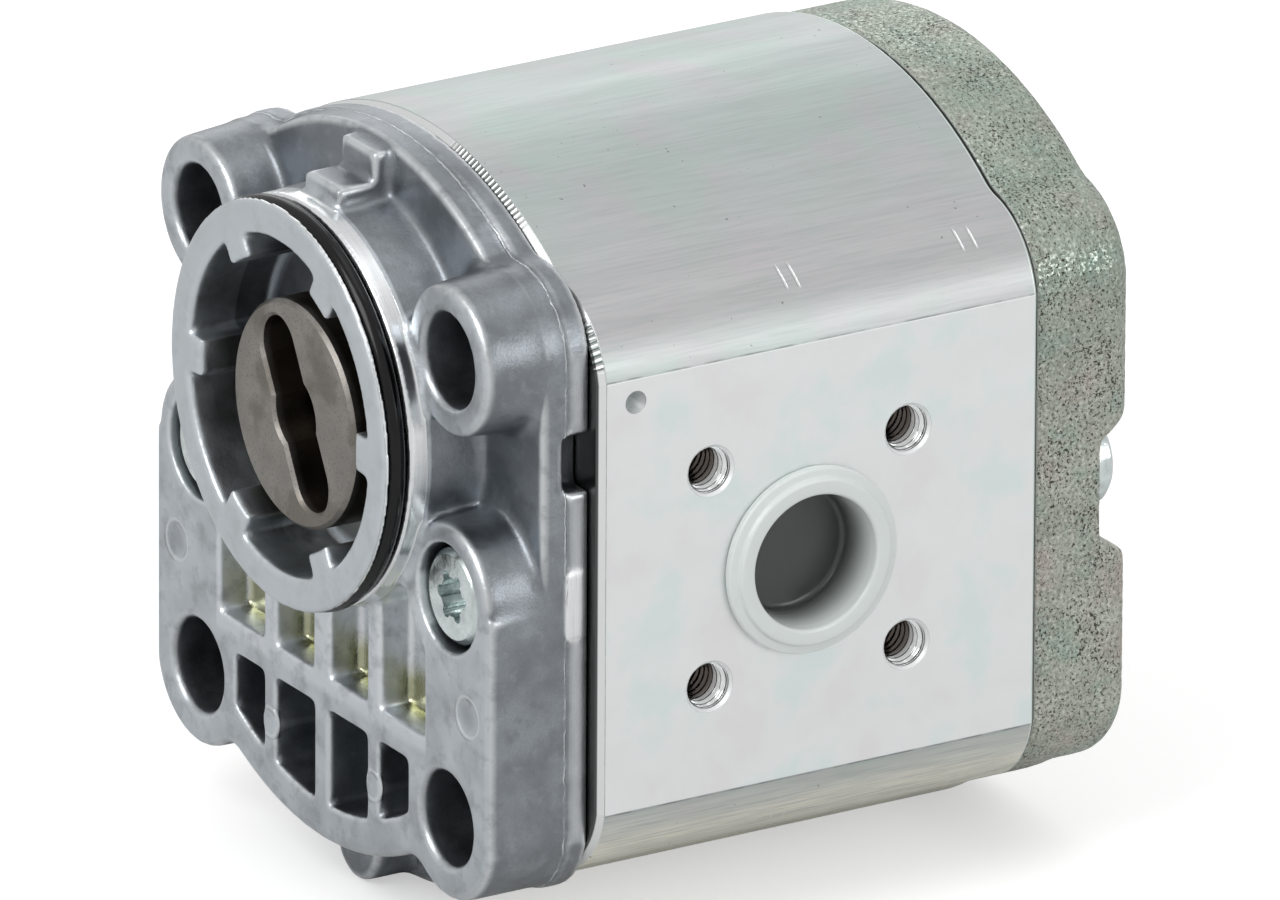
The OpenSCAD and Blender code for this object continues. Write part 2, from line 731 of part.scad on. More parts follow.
// Rolled bush with its butt joint on the side away from the load
module bush(z, y0, y1, joint_side) {
    color("#b08d57") difference() {
        bar(0, z, bush_r, y0, y1);
        bar(0, z, shaft_r + run_gap, y0 - 1, y1 + 1);
        translate([-0.15, y0 - 1, joint_side > 0 ? z : z - bush_r - 1]) cube([0.3, y1 - y0 + 2, bush_r + 1]);
    }
}
bush_inset = 0.5;
module front_drive_bush() bush(drive_z, body_y0 + bush_inset, gear_y0 - bush_inset, 1);
module front_driven_bush() bush(driven_z, body_y0 + bush_inset, gear_y0 - bush_inset, -1);
module rear_drive_bush() bush(drive_z, gear_y1 + bush_inset, body_y1 - bush_inset, 1);
module rear_driven_bush() bush(driven_z, gear_y1 + bush_inset, body_y1 - bush_inset, -1);

// SEALS

// Lip seal: case, lip that runs on the shaft and a groove for its spring
lip_y = seal_y0 + 0.62 * seal_w;
spring_section_r = 0.55;
spring_r = shaft_r + 1.75;
module shaft_seal() {
    color("#3a302c") turned(0, drive_z) difference() {
        polygon([
            [shaft_r + 0.9, seal_y0], [seal_r, seal_y0], [seal_r, seal_y1], [seal_r - 1.2, seal_y1],
            [seal_r - 1.2, seal_y0 + 1.4], [shaft_r + 2.6, seal_y0 + 1.4], [shaft_r + 2.3, lip_y + 1.2],
            [shaft_r + 0.5, lip_y + 1], [shaft_r + run_gap, lip_y], [shaft_r + 0.5, seal_y0 + 1.2]
        ]);
        translate([spring_r, lip_y]) circle(spring_section_r + run_gap, $fn = 48);
        translate([spring_r, lip_y - 0.25]) square([3, 0.5]);
    }
}

module seal_garter_spring() {
    color("#c3c6c9") turned(0, drive_z) translate([spring_r, lip_y]) circle(spring_section_r, $fn = 48);
}

// Spring ring that holds the seal, open below, with two ears for the pliers
module seal_retaining_ring() {
    ring_in = ring_r - 2.2;
    gap_turn = 9;
    color("#55585c") along_y(ring_y0, ring_y0 + ring_t) translate([0, drive_z]) difference() {
        union() {
            difference() {
                circle(ring_r);
                circle(ring_in);
                polygon([[0, 0], polar(2 * ring_r, -90 - gap_turn), polar(2 * ring_r, -90 + gap_turn)]);
            }
            for (s = [-1, 1]) translate(polar(ring_in, -90 + s * (gap_turn + 7))) circle(1.9, $fn = 48);
        }
        for (s = [-1, 1]) translate(polar(ring_in, -90 + s * (gap_turn + 7))) circle(0.9, $fn = 32);
    }
}

module pilot_o_ring() {
    color("#1b1b1d") turned(0, drive_z) translate([o_ring_r, o_ring_y]) circle(o_ring_section_r, $fn = 48);
}

module case_seal(y0, y1) {
    color("#2b2b2d") along_y(y0, y1) difference() {
        stadium(case_seal_r1);
        stadium(case_seal_r0);
    }
}
module front_case_seal() case_seal(body_y0, body_y0 + case_seal_depth - run_gap);
module rear_case_seal() case_seal(body_y1 - case_seal_depth + run_gap, body_y1);

// FASTENERS

module dowel(y0, y1) {
    r = dowel_d / 2;
    e = dowel_edge;
    turned() polygon([[0, y0], [r - e, y0], [r, y0 + e], [r, y1 - e], [r - e, y1], [0, y1]]);
}
module front_dowels() {
    color("#a9adb1") for (s = [-1, 1])
        front_dowel_places(s) dowel(cover_t - dowel_in_cover, cover_t + dowel_in_body);
}
module rear_dowels() {
    color("#a9adb1") for (s = [-1, 1])
        rear_dowel_places(s) dowel(body_y1 - dowel_in_body, body_y1 + dowel_in_cover);
}

// Screw with a round head whose seat is at 0; the head stands towards -Y and has a six-lobe socket
module lobed_screw(head_h, shank_l) {
    lobe_r = 0.8;
    lobe_at = 2.55;
    difference() {
        turned() polygon([
            [0, -head_h], [head_r - 0.7, -head_h], [head_r, -head_h + 0.7], [head_r, 0], [screw_r, 0],
            [screw_r, shank_l - 1], [screw_r - 1, shank_l], [0, shank_l]
        ]);
        along_y(-head_h - 1, -head_h + 2.8) {
            circle(lobe_at);
            for (a = [0:60:300]) rotate(a) translate([lobe_at, 0]) circle(lobe_r, $fn = 32);
        }
    }
}

module front_screw(s) {
    color("#c5cbd2") translate([s * screw_x, counterbore_depth, front_screw_z])
        lobed_screw(front_head_h, cover_t - counterbore_depth + screw_grip);
}
module rear_screw(s) {
    color("#c5cbd2") translate([s * screw_x, groove_y, 0]) rotate([0, 0, 180])
        lobed_screw(rear_head_h, groove_y - body_y1 + screw_grip);
}
module front_screw_left() front_screw(-1);
module front_screw_right() front_screw(1);
module rear_screw_left() rear_screw(-1);
module rear_screw_right() rear_screw(1);

// PORT PLUGS

// Push-in plug with a flange, a bead round its mouth and a cup
plug_lip = 2.2;
module port_plug(side, bore_d) {
    r = bore_d / 2 - fit_gap;
    cup_r = r - plug_wall;
    bead_r = r + 0.9;
    depth = plug_cup + plug_wall - plug_flange_t;
    translate([side * port_faces_w / 2, port_y, 0]) rotate([0, 90 * side, 0]) rotate_extrude() polygon([
        [0, -depth], [r - 0.8, -depth], [r, -depth + 0.8], [r, 0], [r + plug_lip, 0],
        [r + plug_lip, plug_flange_t - 0.3], [r + plug_lip - 0.3, plug_flange_t],
        [bead_r + 0.5, plug_flange_t], [bead_r, plug_flange_t + 0.6],
        [bead_r - 0.9, plug_flange_t + 0.6], [cup_r + 0.3, plug_flange_t], [cup_r, plug_flange_t - 0.6],
        [cup_r - 0.4, plug_wall - depth], [0, plug_wall - depth]
    ]);
}
module suction_plug() color("#dfe5e4") port_plug(1, suction_d);
module pressure_plug() color("#dfe5e4") port_plug(-1, pressure_d);

front_cover();
pump_body();
end_cover();
drive_gear_shaft();
driven_gear_shaft();
coupling_disc();
front_bearing_block();
rear_bearing_block();
front_drive_bush();
front_driven_bush();
rear_drive_bush();
rear_driven_bush();
shaft_seal();
seal_garter_spring();
seal_retaining_ring();
pilot_o_ring();
front_case_seal();
rear_case_seal();
front_axial_seal();
rear_axial_seal();
front_seal_support();
rear_seal_support();
front_dowels();
rear_dowels();
front_screw_left();
front_screw_right();
rear_screw_left();
rear_screw_right();
suction_plug();
pressure_plug();
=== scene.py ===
import json
import math
from functools import partial, reduce

import bmesh
import bpy
import numpy as np
from bpy.props import FloatProperty, FloatVectorProperty, IntProperty, PointerProperty
from mathutils import Matrix, Vector


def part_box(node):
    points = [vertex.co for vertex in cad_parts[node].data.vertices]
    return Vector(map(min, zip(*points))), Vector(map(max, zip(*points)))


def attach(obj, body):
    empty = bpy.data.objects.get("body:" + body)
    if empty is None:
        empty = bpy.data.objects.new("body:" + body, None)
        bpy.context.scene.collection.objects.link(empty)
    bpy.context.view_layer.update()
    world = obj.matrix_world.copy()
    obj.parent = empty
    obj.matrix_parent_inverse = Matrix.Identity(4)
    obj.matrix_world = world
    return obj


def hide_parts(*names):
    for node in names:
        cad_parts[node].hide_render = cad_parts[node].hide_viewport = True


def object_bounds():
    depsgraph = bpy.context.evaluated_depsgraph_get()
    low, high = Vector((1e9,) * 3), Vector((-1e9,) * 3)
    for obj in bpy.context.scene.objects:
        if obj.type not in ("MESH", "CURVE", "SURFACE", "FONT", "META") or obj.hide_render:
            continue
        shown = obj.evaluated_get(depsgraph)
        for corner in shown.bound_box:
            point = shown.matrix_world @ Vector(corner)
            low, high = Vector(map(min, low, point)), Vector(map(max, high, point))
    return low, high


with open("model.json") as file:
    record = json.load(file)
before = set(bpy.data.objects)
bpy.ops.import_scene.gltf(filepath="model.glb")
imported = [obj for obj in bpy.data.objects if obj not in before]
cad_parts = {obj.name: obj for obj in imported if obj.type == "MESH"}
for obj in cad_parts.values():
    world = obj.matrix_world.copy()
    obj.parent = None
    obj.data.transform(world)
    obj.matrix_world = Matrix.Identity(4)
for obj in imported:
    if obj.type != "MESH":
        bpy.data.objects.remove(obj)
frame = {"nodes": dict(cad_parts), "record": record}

bl_info = {
    "name": "External Gear Pump",
    "version": (1, 0, 0),
    "blender": (4, 5, 0),
    "location": "View3D > Sidebar > Gear Pump",
    "description": "Gives the pump's solids their cast, extruded, machined and plated surfaces",
    "category": "Object",
}

# A millimetre in metres, the unit of the frame
MM = 0.001
# Box of the solids, before anything is added
START_BOX = [list(corner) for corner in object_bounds()]
MOUNTS = {mount["name"]: mount for mount in frame["record"]["mounts"]}
# Height of the pilot's axis over the pump's centre
PILOT_Z = MOUNTS["pilot"]["pos_m"][2] / MM


def linear(shade):
    """Linear RGB of a colour written as sRGB hex."""
    srgb = [int(shade[i:i + 2], 16) / 255 for i in (1, 3, 5)]
    return [v / 12.92 if v <= 0.04045 else ((v + 0.055) / 1.055) ** 2.4 for v in srgb]


# Settings

def length(name, description, value, low, high):
    """A size in metres."""
    return FloatProperty(name=name, description=description, default=value, min=low, max=high,
                         subtype="DISTANCE", unit="LENGTH", precision=5)


def colour(name, description, value):
    """A colour, written as sRGB hex."""
    return FloatVectorProperty(name=name, description=description, default=linear(value),
                               subtype="COLOR", size=3, min=0, max=1)


def angle(name, description, degrees):
    """An angle, written in degrees."""
    return FloatProperty(name=name, description=description, default=math.radians(degrees),
                         subtype="ANGLE", unit="ROTATION")


def power(name, description, watts):
    """The power of a lamp, in watts."""
    return FloatProperty(name=name, description=description, default=watts, min=0, max=200,
                         subtype="POWER", unit="POWER")


class CastingSettings(bpy.types.PropertyGroup):
    cover_grid: length("Cover grid", "Spacing of the points of the front cover", 0.00036, 0.0003, 0.001)
    end_grid: length("End cover grid", "Spacing of the points of the end cover", 0.00045, 0.0003, 0.001)
    cover_rounds: IntProperty(name="Cover rounds", default=20, min=4, max=60,
                              description="Rounds of smoothing that form the fillets")
    end_rounds: IntProperty(name="End cover rounds", default=20, min=4, max=60,
                            description="Rounds of smoothing that form the fillets")
    edge_share: FloatProperty(name="Edge share", default=0.25, min=0, max=1, subtype="FACTOR",
                              description="Rounding of the outer edges, as a share of the fillets")
    most_triangles: IntProperty(name="Most triangles", description="Triangles kept in each casting",
                                default=185000, min=20000, max=195000)


class PortSettings(bpy.types.PropertyGroup):
    pitch: length("Thread pitch", "Pitch of the M6 threads round the ports", 0.001, 0.0005, 0.0015)
    thread_depth: length("Thread depth", "How deep the thread is cut", 0.0115, 0.006, 0.013)
    crest: length("Crest radius", "Radius of the bore between the thread's crests", 0.00252, 0.0024, 0.0028)
    plug_wall: length("Plug wall", "Wall of the port plugs", 0.00135, 0.0008, 0.002)


class FinishSettings(bpy.types.PropertyGroup):
    cast_aluminium: colour("Die-cast aluminium", "Skin of the front cover", "#8C9196")
    extruded_aluminium: colour("Extruded aluminium", "Skin of the body", "#BBC2C1")
    milled_aluminium: colour("Milled aluminium", "Port faces", "#E9EBEB")
    cast_iron: colour("Cast iron", "Skin of the end cover", "#B5B8AE")
    sintered_steel: colour("Sintered steel", "Coupling disc", "#8E8A85")
    zinc: colour("Zinc plating", "Assembly screws", "#D8E1E0")
    rubber: colour("Rubber", "Pilot O-ring", "#08080A")
    polyethylene: colour("Polyethylene", "Port plugs", "#D9DFDD")


class StudioSettings(bpy.types.PropertyGroup):
    distance: length("Camera distance", "From the camera to the pump", 3.9, 1.0, 8.0)
    focal: FloatProperty(name="Focal length", description="Focal length on a 36 mm sensor, in mm",
                         default=892.7, min=50, max=2000)
    turn: angle("Turn", "Turn of the camera round the pump", 58.66)
    rise: angle("Rise", "Angle of the camera over the floor", 20.97)
    tilt: angle("Tilt", "Roll of the camera", 0.298)
    view_right: length("View right", "Middle of the view, to the right of the origin", 0.03924, 0, 0.1)
    view_up: length("View up", "Middle of the view, over the origin", 0.00795, 0, 0.1)
    room: FloatProperty(name="Room light", default=0.75, min=0, max=2,
                        description="Brightness of the room round the pump")
    key: power("Key light", "Large lamp over the camera", 11.0)
    fill: power("Fill light", "Lamp beside the camera", 3.0)
    top: power("Top light", "Lamp over the pump", 1.2)
    rear: power("Rear light", "Lamp low behind the pump", 1.5)


# Meshes

def new_piece(name, mesh, material, body):
    """Makes an object of a mesh that is in the pump's frame, and ties it to its body and material slot."""
    piece = bpy.data.objects.new(name, mesh)
    bpy.context.scene.collection.objects.link(piece)
    piece.data.materials.clear()
    piece.data.materials.append(material)
    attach(piece, body)
    return piece


def mesh_of_grids(name, grids, wrap_rows=False):
    """Mesh of one or more grids of points with shape (rows, columns, 3), in millimetres.

    Each point joins its neighbours in its row and column with quads. Columns always close on
    themselves, rows only if wrap_rows. Rows that shrink to a point become poles.
    """
    points, faces, start = [], [], 0
    for grid in grids:
        rows, columns = grid.shape[:2]
        index = np.arange(rows * columns).reshape(rows, columns) + start
        lower = index if wrap_rows else index[:-1]
        upper = np.roll(index, -1, 0) if wrap_rows else index[1:]
        right, upper_right = np.roll(lower, -1, 1), np.roll(upper, -1, 1)
        faces.append(np.stack([lower, right, upper_right, upper], -1).reshape(-1, 4))
        points.append(grid.reshape(-1, 3))
        start += rows * columns
    mesh = bpy.data.meshes.new(name)
    mesh.from_pydata(np.concatenate(points) * MM, [], np.concatenate(faces).tolist())
    work = bmesh.new()
    work.from_mesh(mesh)
    bmesh.ops.remove_doubles(work, verts=work.verts, dist=1e-7)
    bmesh.ops.recalc_face_normals(work, faces=work.faces)
    work.to_mesh(mesh)
    work.free()
    mesh.shade_smooth()
    return mesh


def rounded(corners, steps=5):
    """Profile through corners (u, v, radius), each turned into an arc of its radius.

    An arc touches both sides at radius * tan(turn / 2) from the corner. Its points are the corner's
    two touching points blended on the circle: centre + radius * (cos a, sin a).
    """
    corners = np.array(corners, float)
    out = []
    last = len(corners) - 1
    for i, (u, v, radius) in enumerate(corners):
        here = np.array([u, v])
        if radius <= 0 or i in (0, last):
            out.append(here[None])
            continue
        back, on = corners[i - 1, :2] - here, corners[i + 1, :2] - here
        back, on = back / np.linalg.norm(back), on / np.linalg.norm(on)
        half = math.acos(np.clip(back @ on, -1, 1)) / 2
        middle = (back + on) / np.linalg.norm(back + on)
        centre = here + middle * radius / math.sin(half)
        first = here + back * radius / math.tan(half) - centre
        final = here + on * radius / math.tan(half) - centre
        share = np.linspace(0, 1, steps + 1)[:, None]
        arc = first * (1 - share) + final * share
        out.append(centre + arc / np.linalg.norm(arc, axis=1, keepdims=True) * radius)
    return np.concatenate(out)


def turned(profile, centre, axis, columns=128):
    """Grid of a profile of (radius, height) points turned about an axis.

    point = centre + height * axis + radius * (cos t * across + sin t * up), with t once round.
    """
    axis, centre = np.array(axis, float), np.array(centre, float)
    across = np.cross(axis, [0.0, 0.0, 1.0])
    across /= np.linalg.norm(across)
    up = np.cross(across, axis)
    t = np.linspace(0, 2 * math.pi, columns, endpoint=False)
    ring = np.cos(t)[:, None] * across + np.sin(t)[:, None] * up
    return centre + profile[:, 1, None, None] * axis + profile[:, 0, None, None] * ring


def evaluated(holder):
    """Mesh of an object with its modifiers applied. The object is removed."""
    graph = bpy.context.evaluated_depsgraph_get()
    mesh = bpy.data.meshes.new_from_object(holder.evaluated_get(graph))
    old = holder.data
    bpy.data.objects.remove(holder)
    bpy.data.meshes.remove(old)
    return mesh


def held(mesh):
    """Puts a mesh in an object for a while, so that it can take modifiers."""
    holder = bpy.data.objects.new("held", mesh)
    bpy.context.scene.collection.objects.link(holder)
    return holder


def points_of(mesh):
    """Points of a mesh as an array."""
    points = np.empty(len(mesh.vertices) * 3, np.float32)
    mesh.vertices.foreach_get("co", points)
    return points.reshape(-1, 3).astype(float)


def normals_of(mesh):
    """Normals at the points of a mesh as an array."""
    normals = np.empty(len(mesh.vertices) * 3, np.float32)
    mesh.vertex_normals.foreach_get("vector", normals)
    return normals.reshape(-1, 3).astype(float)


def relaxed(points, edges, share, rounds):
    """Moves every point towards the mean of its neighbours, p += share * (mean - p), once a round."""
    count = np.bincount(edges.ravel(), minlength=len(points))[:, None]
    ends = np.concatenate([edges[:, 0], edges[:, 1]])
    others = np.concatenate([edges[:, 1], edges[:, 0]])
    for _ in range(rounds):
        mean = np.stack([np.bincount(ends, points[others, k], len(points)) for k in range(3)], 1) / count
        points = points + share * (mean - points)
    return points


def moved(mesh, points):
    """Moves a mesh's points and returns its new normals."""
    mesh.vertices.foreach_set("co", points.astype(np.float32).ravel())
    mesh.update()
    return normals_of(mesh)


# Relaxing of a casting: share of the way that a point goes in a round, how firmly worked faces hold
# on, and the rounds for the outer edges
RELAX_SHARE, WORKED_HOLD, EDGE_ROUNDS = 0.6, 0.85, 4
# Edge and hollow carry painted highlights on edges and painted shade in hollows into the materials
# Attributes of a casting: name, sign of the way to the softer copy, rounds to it, and its full distance
CURVATURE = (("edge", -1, 4, 0.06), ("hollow", 1, 40, 0.35))


def casting(node, sizes, grid, rounds, worked, roughness):
    """Copy of a node as a casting, with fillets where the solid has sharp edges.

    The merged copy is remeshed to an even grid of points, which are then relaxed: a few rounds for
    the outer edges, and many for the hollow corners. worked(points) is 1 on machined faces, which
    keep their edges, and 0 on the cast skin. roughness(points) is how far the skin sinks in, in
    millimetres. The attributes edge and hollow say how far a point stands out of, or lies below, its
    surroundings, as the distance to a softer copy.
    """
    mesh = frame["nodes"][node].data.copy()
    work = bmesh.new()
    work.from_mesh(mesh)
    bmesh.ops.remove_doubles(work, verts=work.verts, dist=1e-6)
    bmesh.ops.scale(work, vec=(1 / MM,) * 3, verts=work.verts)
    work.to_mesh(mesh)
    work.free()
    holder = held(mesh)
    remesh = holder.modifiers.new("grid", "REMESH")
    remesh.mode, remesh.voxel_size = "VOXEL", grid / MM
    mesh = evaluated(holder)
    edges = np.empty(len(mesh.edges) * 2, np.int32)
    mesh.edges.foreach_get("vertices", edges)
    edges = edges.reshape(-1, 2)
    points = points_of(mesh)
    share = RELAX_SHARE * (1 - WORKED_HOLD * worked(points))[:, None]
    points = relaxed(points, edges, share, EDGE_ROUNDS)
    soft = relaxed(points, edges, share, rounds)
    normals = moved(mesh, points)
    outer = np.sum((soft - points) * normals, 1) < 0
    points = points + (soft - points) * np.where(outer, sizes.edge_share, 1.0)[:, None]
    normals = moved(mesh, points)
    values = {"worked": worked(points)}
    for name, sign, extra, full in CURVATURE:
        lift = np.sum((relaxed(points, edges, RELAX_SHARE, extra) - points) * normals, 1)
        values[name] = np.clip(sign * lift / full, 0, 1)
    for name, value in values.items():
        mesh.attributes.new(name, "FLOAT", "POINT").data.foreach_set("value", value.astype(np.float32))
    moved(mesh, (points - normals * roughness(points)[:, None]) * MM)
    holder = held(mesh)
    thin = holder.modifiers.new("thin", "DECIMATE")
    thin.ratio = min(1.0, sizes.most_triangles / (2 * len(mesh.polygons)))
    mesh = evaluated(holder)
    mesh.shade_smooth()
    return mesh


# Materials

# Place of the die's parting line along Y on the front cover, in millimetres
FLASH_Y = 10.7
# Marks of the ejector pins on the front cover: X, Z and radius
EJECTOR_MARKS = ((35, -15, 2.6), (-35, -15, 2.6), (12.4, -31.55, 1.9), (-12.4, -31.55, 1.9))
# Scratches left by a clamp on the body's shoulders: Y, and Z at both ends
CLAMP_MARKS = (
    (42.5, 34.3, 36.8), (44.2, 34.2, 36.8), (67.9, 34.4, 36.8), (69.8, 34.4, 36.7),
    (40.8, -35.0, -33.6), (42.6, -35.1, -33.4), (67.2, -35.8, -34.1), (68.9, -35.4, -34.0),
)
# Lean of these scratches along Y, for each millimetre along Z
CLAMP_LEAN = 0.09
# Spacing of the chatter marks on the body's front edge, at the radius at which they run
CHATTER_GAP, CHATTER_R = 0.8, 48
# Marks of the face mill: their spacing, and the cutter's centre in the plane of the port faces
MILL_GAP, MILL_Y, MILL_Z = 1.1, 44, -220


def wire(made, inputs):
    """Sets inputs of a node, each to a value or to another node's output."""
    for socket, value in inputs.items():
        if isinstance(value, bpy.types.NodeSocket):
            made.id_data.links.new(value, made.inputs[socket])
        else:
            made.inputs[socket].default_value = value


def add_node(tree, kind, inputs=None, out=0, **settings):
    """Adds one node with its settings and links, and returns its output out.

    Inputs go by name or by place. A Map Range takes a value at 0, from the range at 1 and 2 to the
    range at 3 and 4, and a range that is left out runs from 0 to 1. A Mix blends 2 and 3 as numbers
    or 6 and 7 as colours, by the share at 0.
    """
    made = tree.nodes.new("ShaderNode" + kind)
    for field, value in settings.items():
        setattr(made, field, value)
    wire(made, inputs or {})
    return made.outputs[out]


def start(name, metallic, roughness):
    """New material: returns it, its shader, what adds a node to it, and the object's coordinates."""
    material = bpy.data.materials.new(name)
    material.use_nodes = True
    shader = material.node_tree.nodes["Principled BSDF"]
    wire(shader, {"Metallic": metallic, "Roughness": roughness})
    add = partial(add_node, material.node_tree)
    return material, shader, add, add("TexCoord", out="Object")


def paint(shade, amount=1.0):
    """Linear RGBA of a colour, given as sRGB hex or as linear RGB, made lighter or darker by amount."""
    rgb = linear(shade) if isinstance(shade, str) else shade
    return [min(1.0, v * amount) for v in rgb] + [1.0]


def painted(add, base, layers):
    """Lays colours over a base, one after the other.

    A layer is (pattern, low, high, amount, colour). The colour comes in where the pattern goes from
    low to high, and covers by amount from high on.
    """
    for pattern, low, high, amount, colour_over in layers:
        share = add("MapRange", {0: pattern, 1: low, 2: high, 4: amount})
        base = add("Mix", {0: share, 6: base, 7: colour_over}, 2, data_type="RGBA")
    return base


def relief(add, shader, layers):
    """Lays bumps over each other. A layer is (pattern, height), the height in millimetres."""
    below = {}
    for pattern, height in layers:
        inputs = {"Height": pattern, "Distance": height * MM, "Strength": 1.0, **below}
        below = {"Normal": add("Bump", inputs)}
    wire(shader, below)


def spots(add, place, size, detail=3.0, stretch=(1, 1, 1), roughness=0.5):
    """Noise whose spots are about size millimetres wide, drawn out by stretch."""
    scale = [1 / (size * MM * s) for s in stretch]
    scaled = add("Mapping", {"Vector": place, "Scale": scale})
    return add("TexNoise", {"Vector": scaled, "Scale": 1.0, "Detail": detail, "Roughness": roughness}, "Fac")


def both(add, *masks):
    """Product of masks and numbers: 1 where all masks are 1."""
    return reduce(lambda a, b: add("Math", {0: a, 1: b}, operation="MULTIPLY"), masks)


def either(add, *masks):
    """Largest of masks, 1 where any of them is 1."""
    return reduce(lambda a, b: add("Math", {0: a, 1: b}, operation="MAXIMUM"), masks)


def near(add, value, middle, full, fade):
    """1 within full of middle, down to 0 over a further fade. All but value are in millimetres."""
    away = add("Math", {0: value, 1: middle * MM}, operation="SUBTRACT")
    away = add("Math", {0: away}, operation="ABSOLUTE")
    return add("MapRange", {0: away, 1: (full + fade) * MM, 2: full * MM})


def distance(add, x, z, at_x, at_z):
    """Distance from a line along Y, whose place is given in millimetres."""
    flat = add("CombineXYZ", {"X": x, "Z": z})
    return add("VectorMath", {0: flat, 1: (at_x * MM, 0, at_z * MM)}, "Value", operation="DISTANCE")


def die_cast_aluminium(finish):
    """Aluminium, pressure die-cast and left as cast.

    The skin is dull and mottled with flow marks. Edges are lighter, partly polished by handling and
    vibration and partly a painted highlight, and the raised rims of the ejector marks carry painted
    highlights too. Hollows, the inside of the pilot and the joint with the body are darkened with
    painted shade, and the upper pockets and the front faces are lightened with painted light. The
    two halves of the die leave a bright ragged line of flash where they part. Machined lands are
    bright with fine turning lines.
    """
    material, shader, add, place = start("die_cast_aluminium", 1.0, 0.45)
    skin = finish.cast_aluminium
    edge, hollow, worked = (add("Attribute", out="Fac", attribute_name=name)
                            for name in ("edge", "hollow", "worked"))
    x, y, z = add("SeparateXYZ", {0: place}).node.outputs
    pilot, joint = MOUNTS["pilot"]["dims"]["r_mm"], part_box("pump_body")[0].y / MM
    mottle = spots(add, place, 6, 4)
    fine = spots(add, place, 0.3, 3)
    stains = spots(add, place, 3.5, 5, roughness=0.65)
    # Flash, which wanders by a quarter of a millimetre and thins out in places
    wobble = add("MapRange", {0: spots(add, place, 1.5, 3), 3: -0.25 * MM, 4: 0.25 * MM})
    flash = near(add, add("Math", {0: y, 1: wobble}, operation="ADD"), FLASH_Y, 0.06, 0.1)
    thinned = add("MapRange", {0: spots(add, place, 2.5, 3), 1: 0.38, 2: 0.62, 3: 0.1, 4: 0.9})
    flash = both(add, flash, thinned)
    rings = either(add, *(near(add, distance(add, x, z, at_x, at_z), radius, 0.1, 0.3)
                          for at_x, at_z, radius in EJECTOR_MARKS))
    rings = both(add, rings, add("MapRange", {0: y, 1: 0.8 * MM, 2: 0.5 * MM}))
    # Painted light: the upper pockets and the front faces are lightened, the front faces in patches
    pocket_light = both(add, near(add, y, 2.4, 2.9, 0.3), near(add, z, -11.5, 11, 1), near(add, x, 0, 25, 0.5))
    lit_front = both(add, add("MapRange", {0: y, 1: 0.4 * MM, 2: 0.1 * MM}),
                  add("MapRange", {0: mottle, 1: 0.35, 2: 0.65, 3: 0.6, 4: 0.88}))
    # Oil that has run together at the bottom of the upper pockets
    oil = both(add, near(add, y, 4.8, 0.8, 1.6), near(add, z, -19.4, 1.6, 2.6), near(add, x, 0, 24, 1))
    # Painted shade inside the pilot, browner towards the bottom
    reach = distance(add, x, z, 0, PILOT_Z)
    inside = both(add, add("MapRange", {0: reach, 1: 20.5 * MM, 2: 19.5 * MM}),
                  add("MapRange", {0: y, 1: -4.5 * MM, 2: -2 * MM}))
    pilot_shade = painted(add, paint("#4A484A"), [(z, (PILOT_Z + 6) * MM, (PILOT_Z - 12) * MM, 1, paint("#4C4B2C"))])
    # Turned land of the pilot, and milled pads on the sides
    land = both(add, near(add, reach, pilot - 1.6, 1.7, 0.05), near(add, y, -3.15, 2.85, 0.05))
    pads = both(add, worked, near(add, y, 12, 1.5, 0.3))
    lines = spots(add, place, 0.1, 3, (80, 1, 80))
    cut = painted(add, paint("#DDE0E2"), [(lines, 0.3, 0.7, 1, paint("#F2F4F4"))])
    base = painted(add, paint(skin, 0.82), [
        (mottle, 0.35, 0.65, 1, paint(skin, 1.15)),
        (spots(add, place, 2.2, 5), 0.56, 0.72, 0.5, paint(skin, 1.35)),
        (stains, 0.54, 0.68, 0.5, paint(skin, 0.6)),
        (fine, 0.4, 0.7, 0.35, paint(skin, 0.7)),
        # Painted shade in the hollows
        (hollow, 0.3, 1, 0.25, paint(skin, 0.45)),
        # Painted highlight on the edges, partly polish from handling
        (edge, 0.25, 0.9, 0.65, paint("#ECEFF1")),
        (flash, 0, 1, 1, paint("#D6DADC")),
        # Painted light in the upper pockets and on the front faces
        (pocket_light, 0, 1, 0.85, paint("#E4E8EB")),
        (lit_front, 0, 1, 1, paint("#CDD3D8")),
        (stains, 0.5, 0.66, 0.4, paint(skin, 0.85)),
        # Ejector marks, their raised rims lightened as a painted highlight
        (rings, 0, 1, 0.5, paint("#DDE1E4")),
        (oil, 0, 1, 0.7, paint("#8B8A48")),
        # Painted shade in the joint with the body
        (y, (joint - 0.25) * MM, (joint - 0.05) * MM, 0.85, paint("#2A2C2B")),
        # Painted shade inside the pilot
        (inside, 0, 1, 0.65, pilot_shade),
        # Turned face of the pilot
        (y, -5.2 * MM, -5.6 * MM, 0.6, paint("#CDD3D7")),
        (either(add, land, pads), 0, 1, 1, cut),
    ])
    rough = add("MapRange", {0: mottle, 1: 0.3, 2: 0.7, 3: 0.32, 4: 0.46})
    for mask, polish in ((land, 0.12), (oil, 0.26)):
        rough = add("Math", {0: mask, 1: -polish, 2: rough}, operation="MULTIPLY_ADD")
    wire(shader, {"Base Color": base, "Roughness": rough})
    # Casting grain of a few tenths of a millimetre, raised marks, and slow waves of the skin
    cast = add("Math", {0: 1.0, 1: land}, operation="SUBTRACT")
    raised = add("Math", {0: flash, 1: rings}, operation="ADD")
    grain = both(add, add("Math", {0: raised, 1: fine}, operation="ADD"), cast)
    relief(add, shader, [(grain, 0.03), (raised, 0.08), (both(add, spots(add, place, 3.2, 2), cast), 0.07)])
    return material


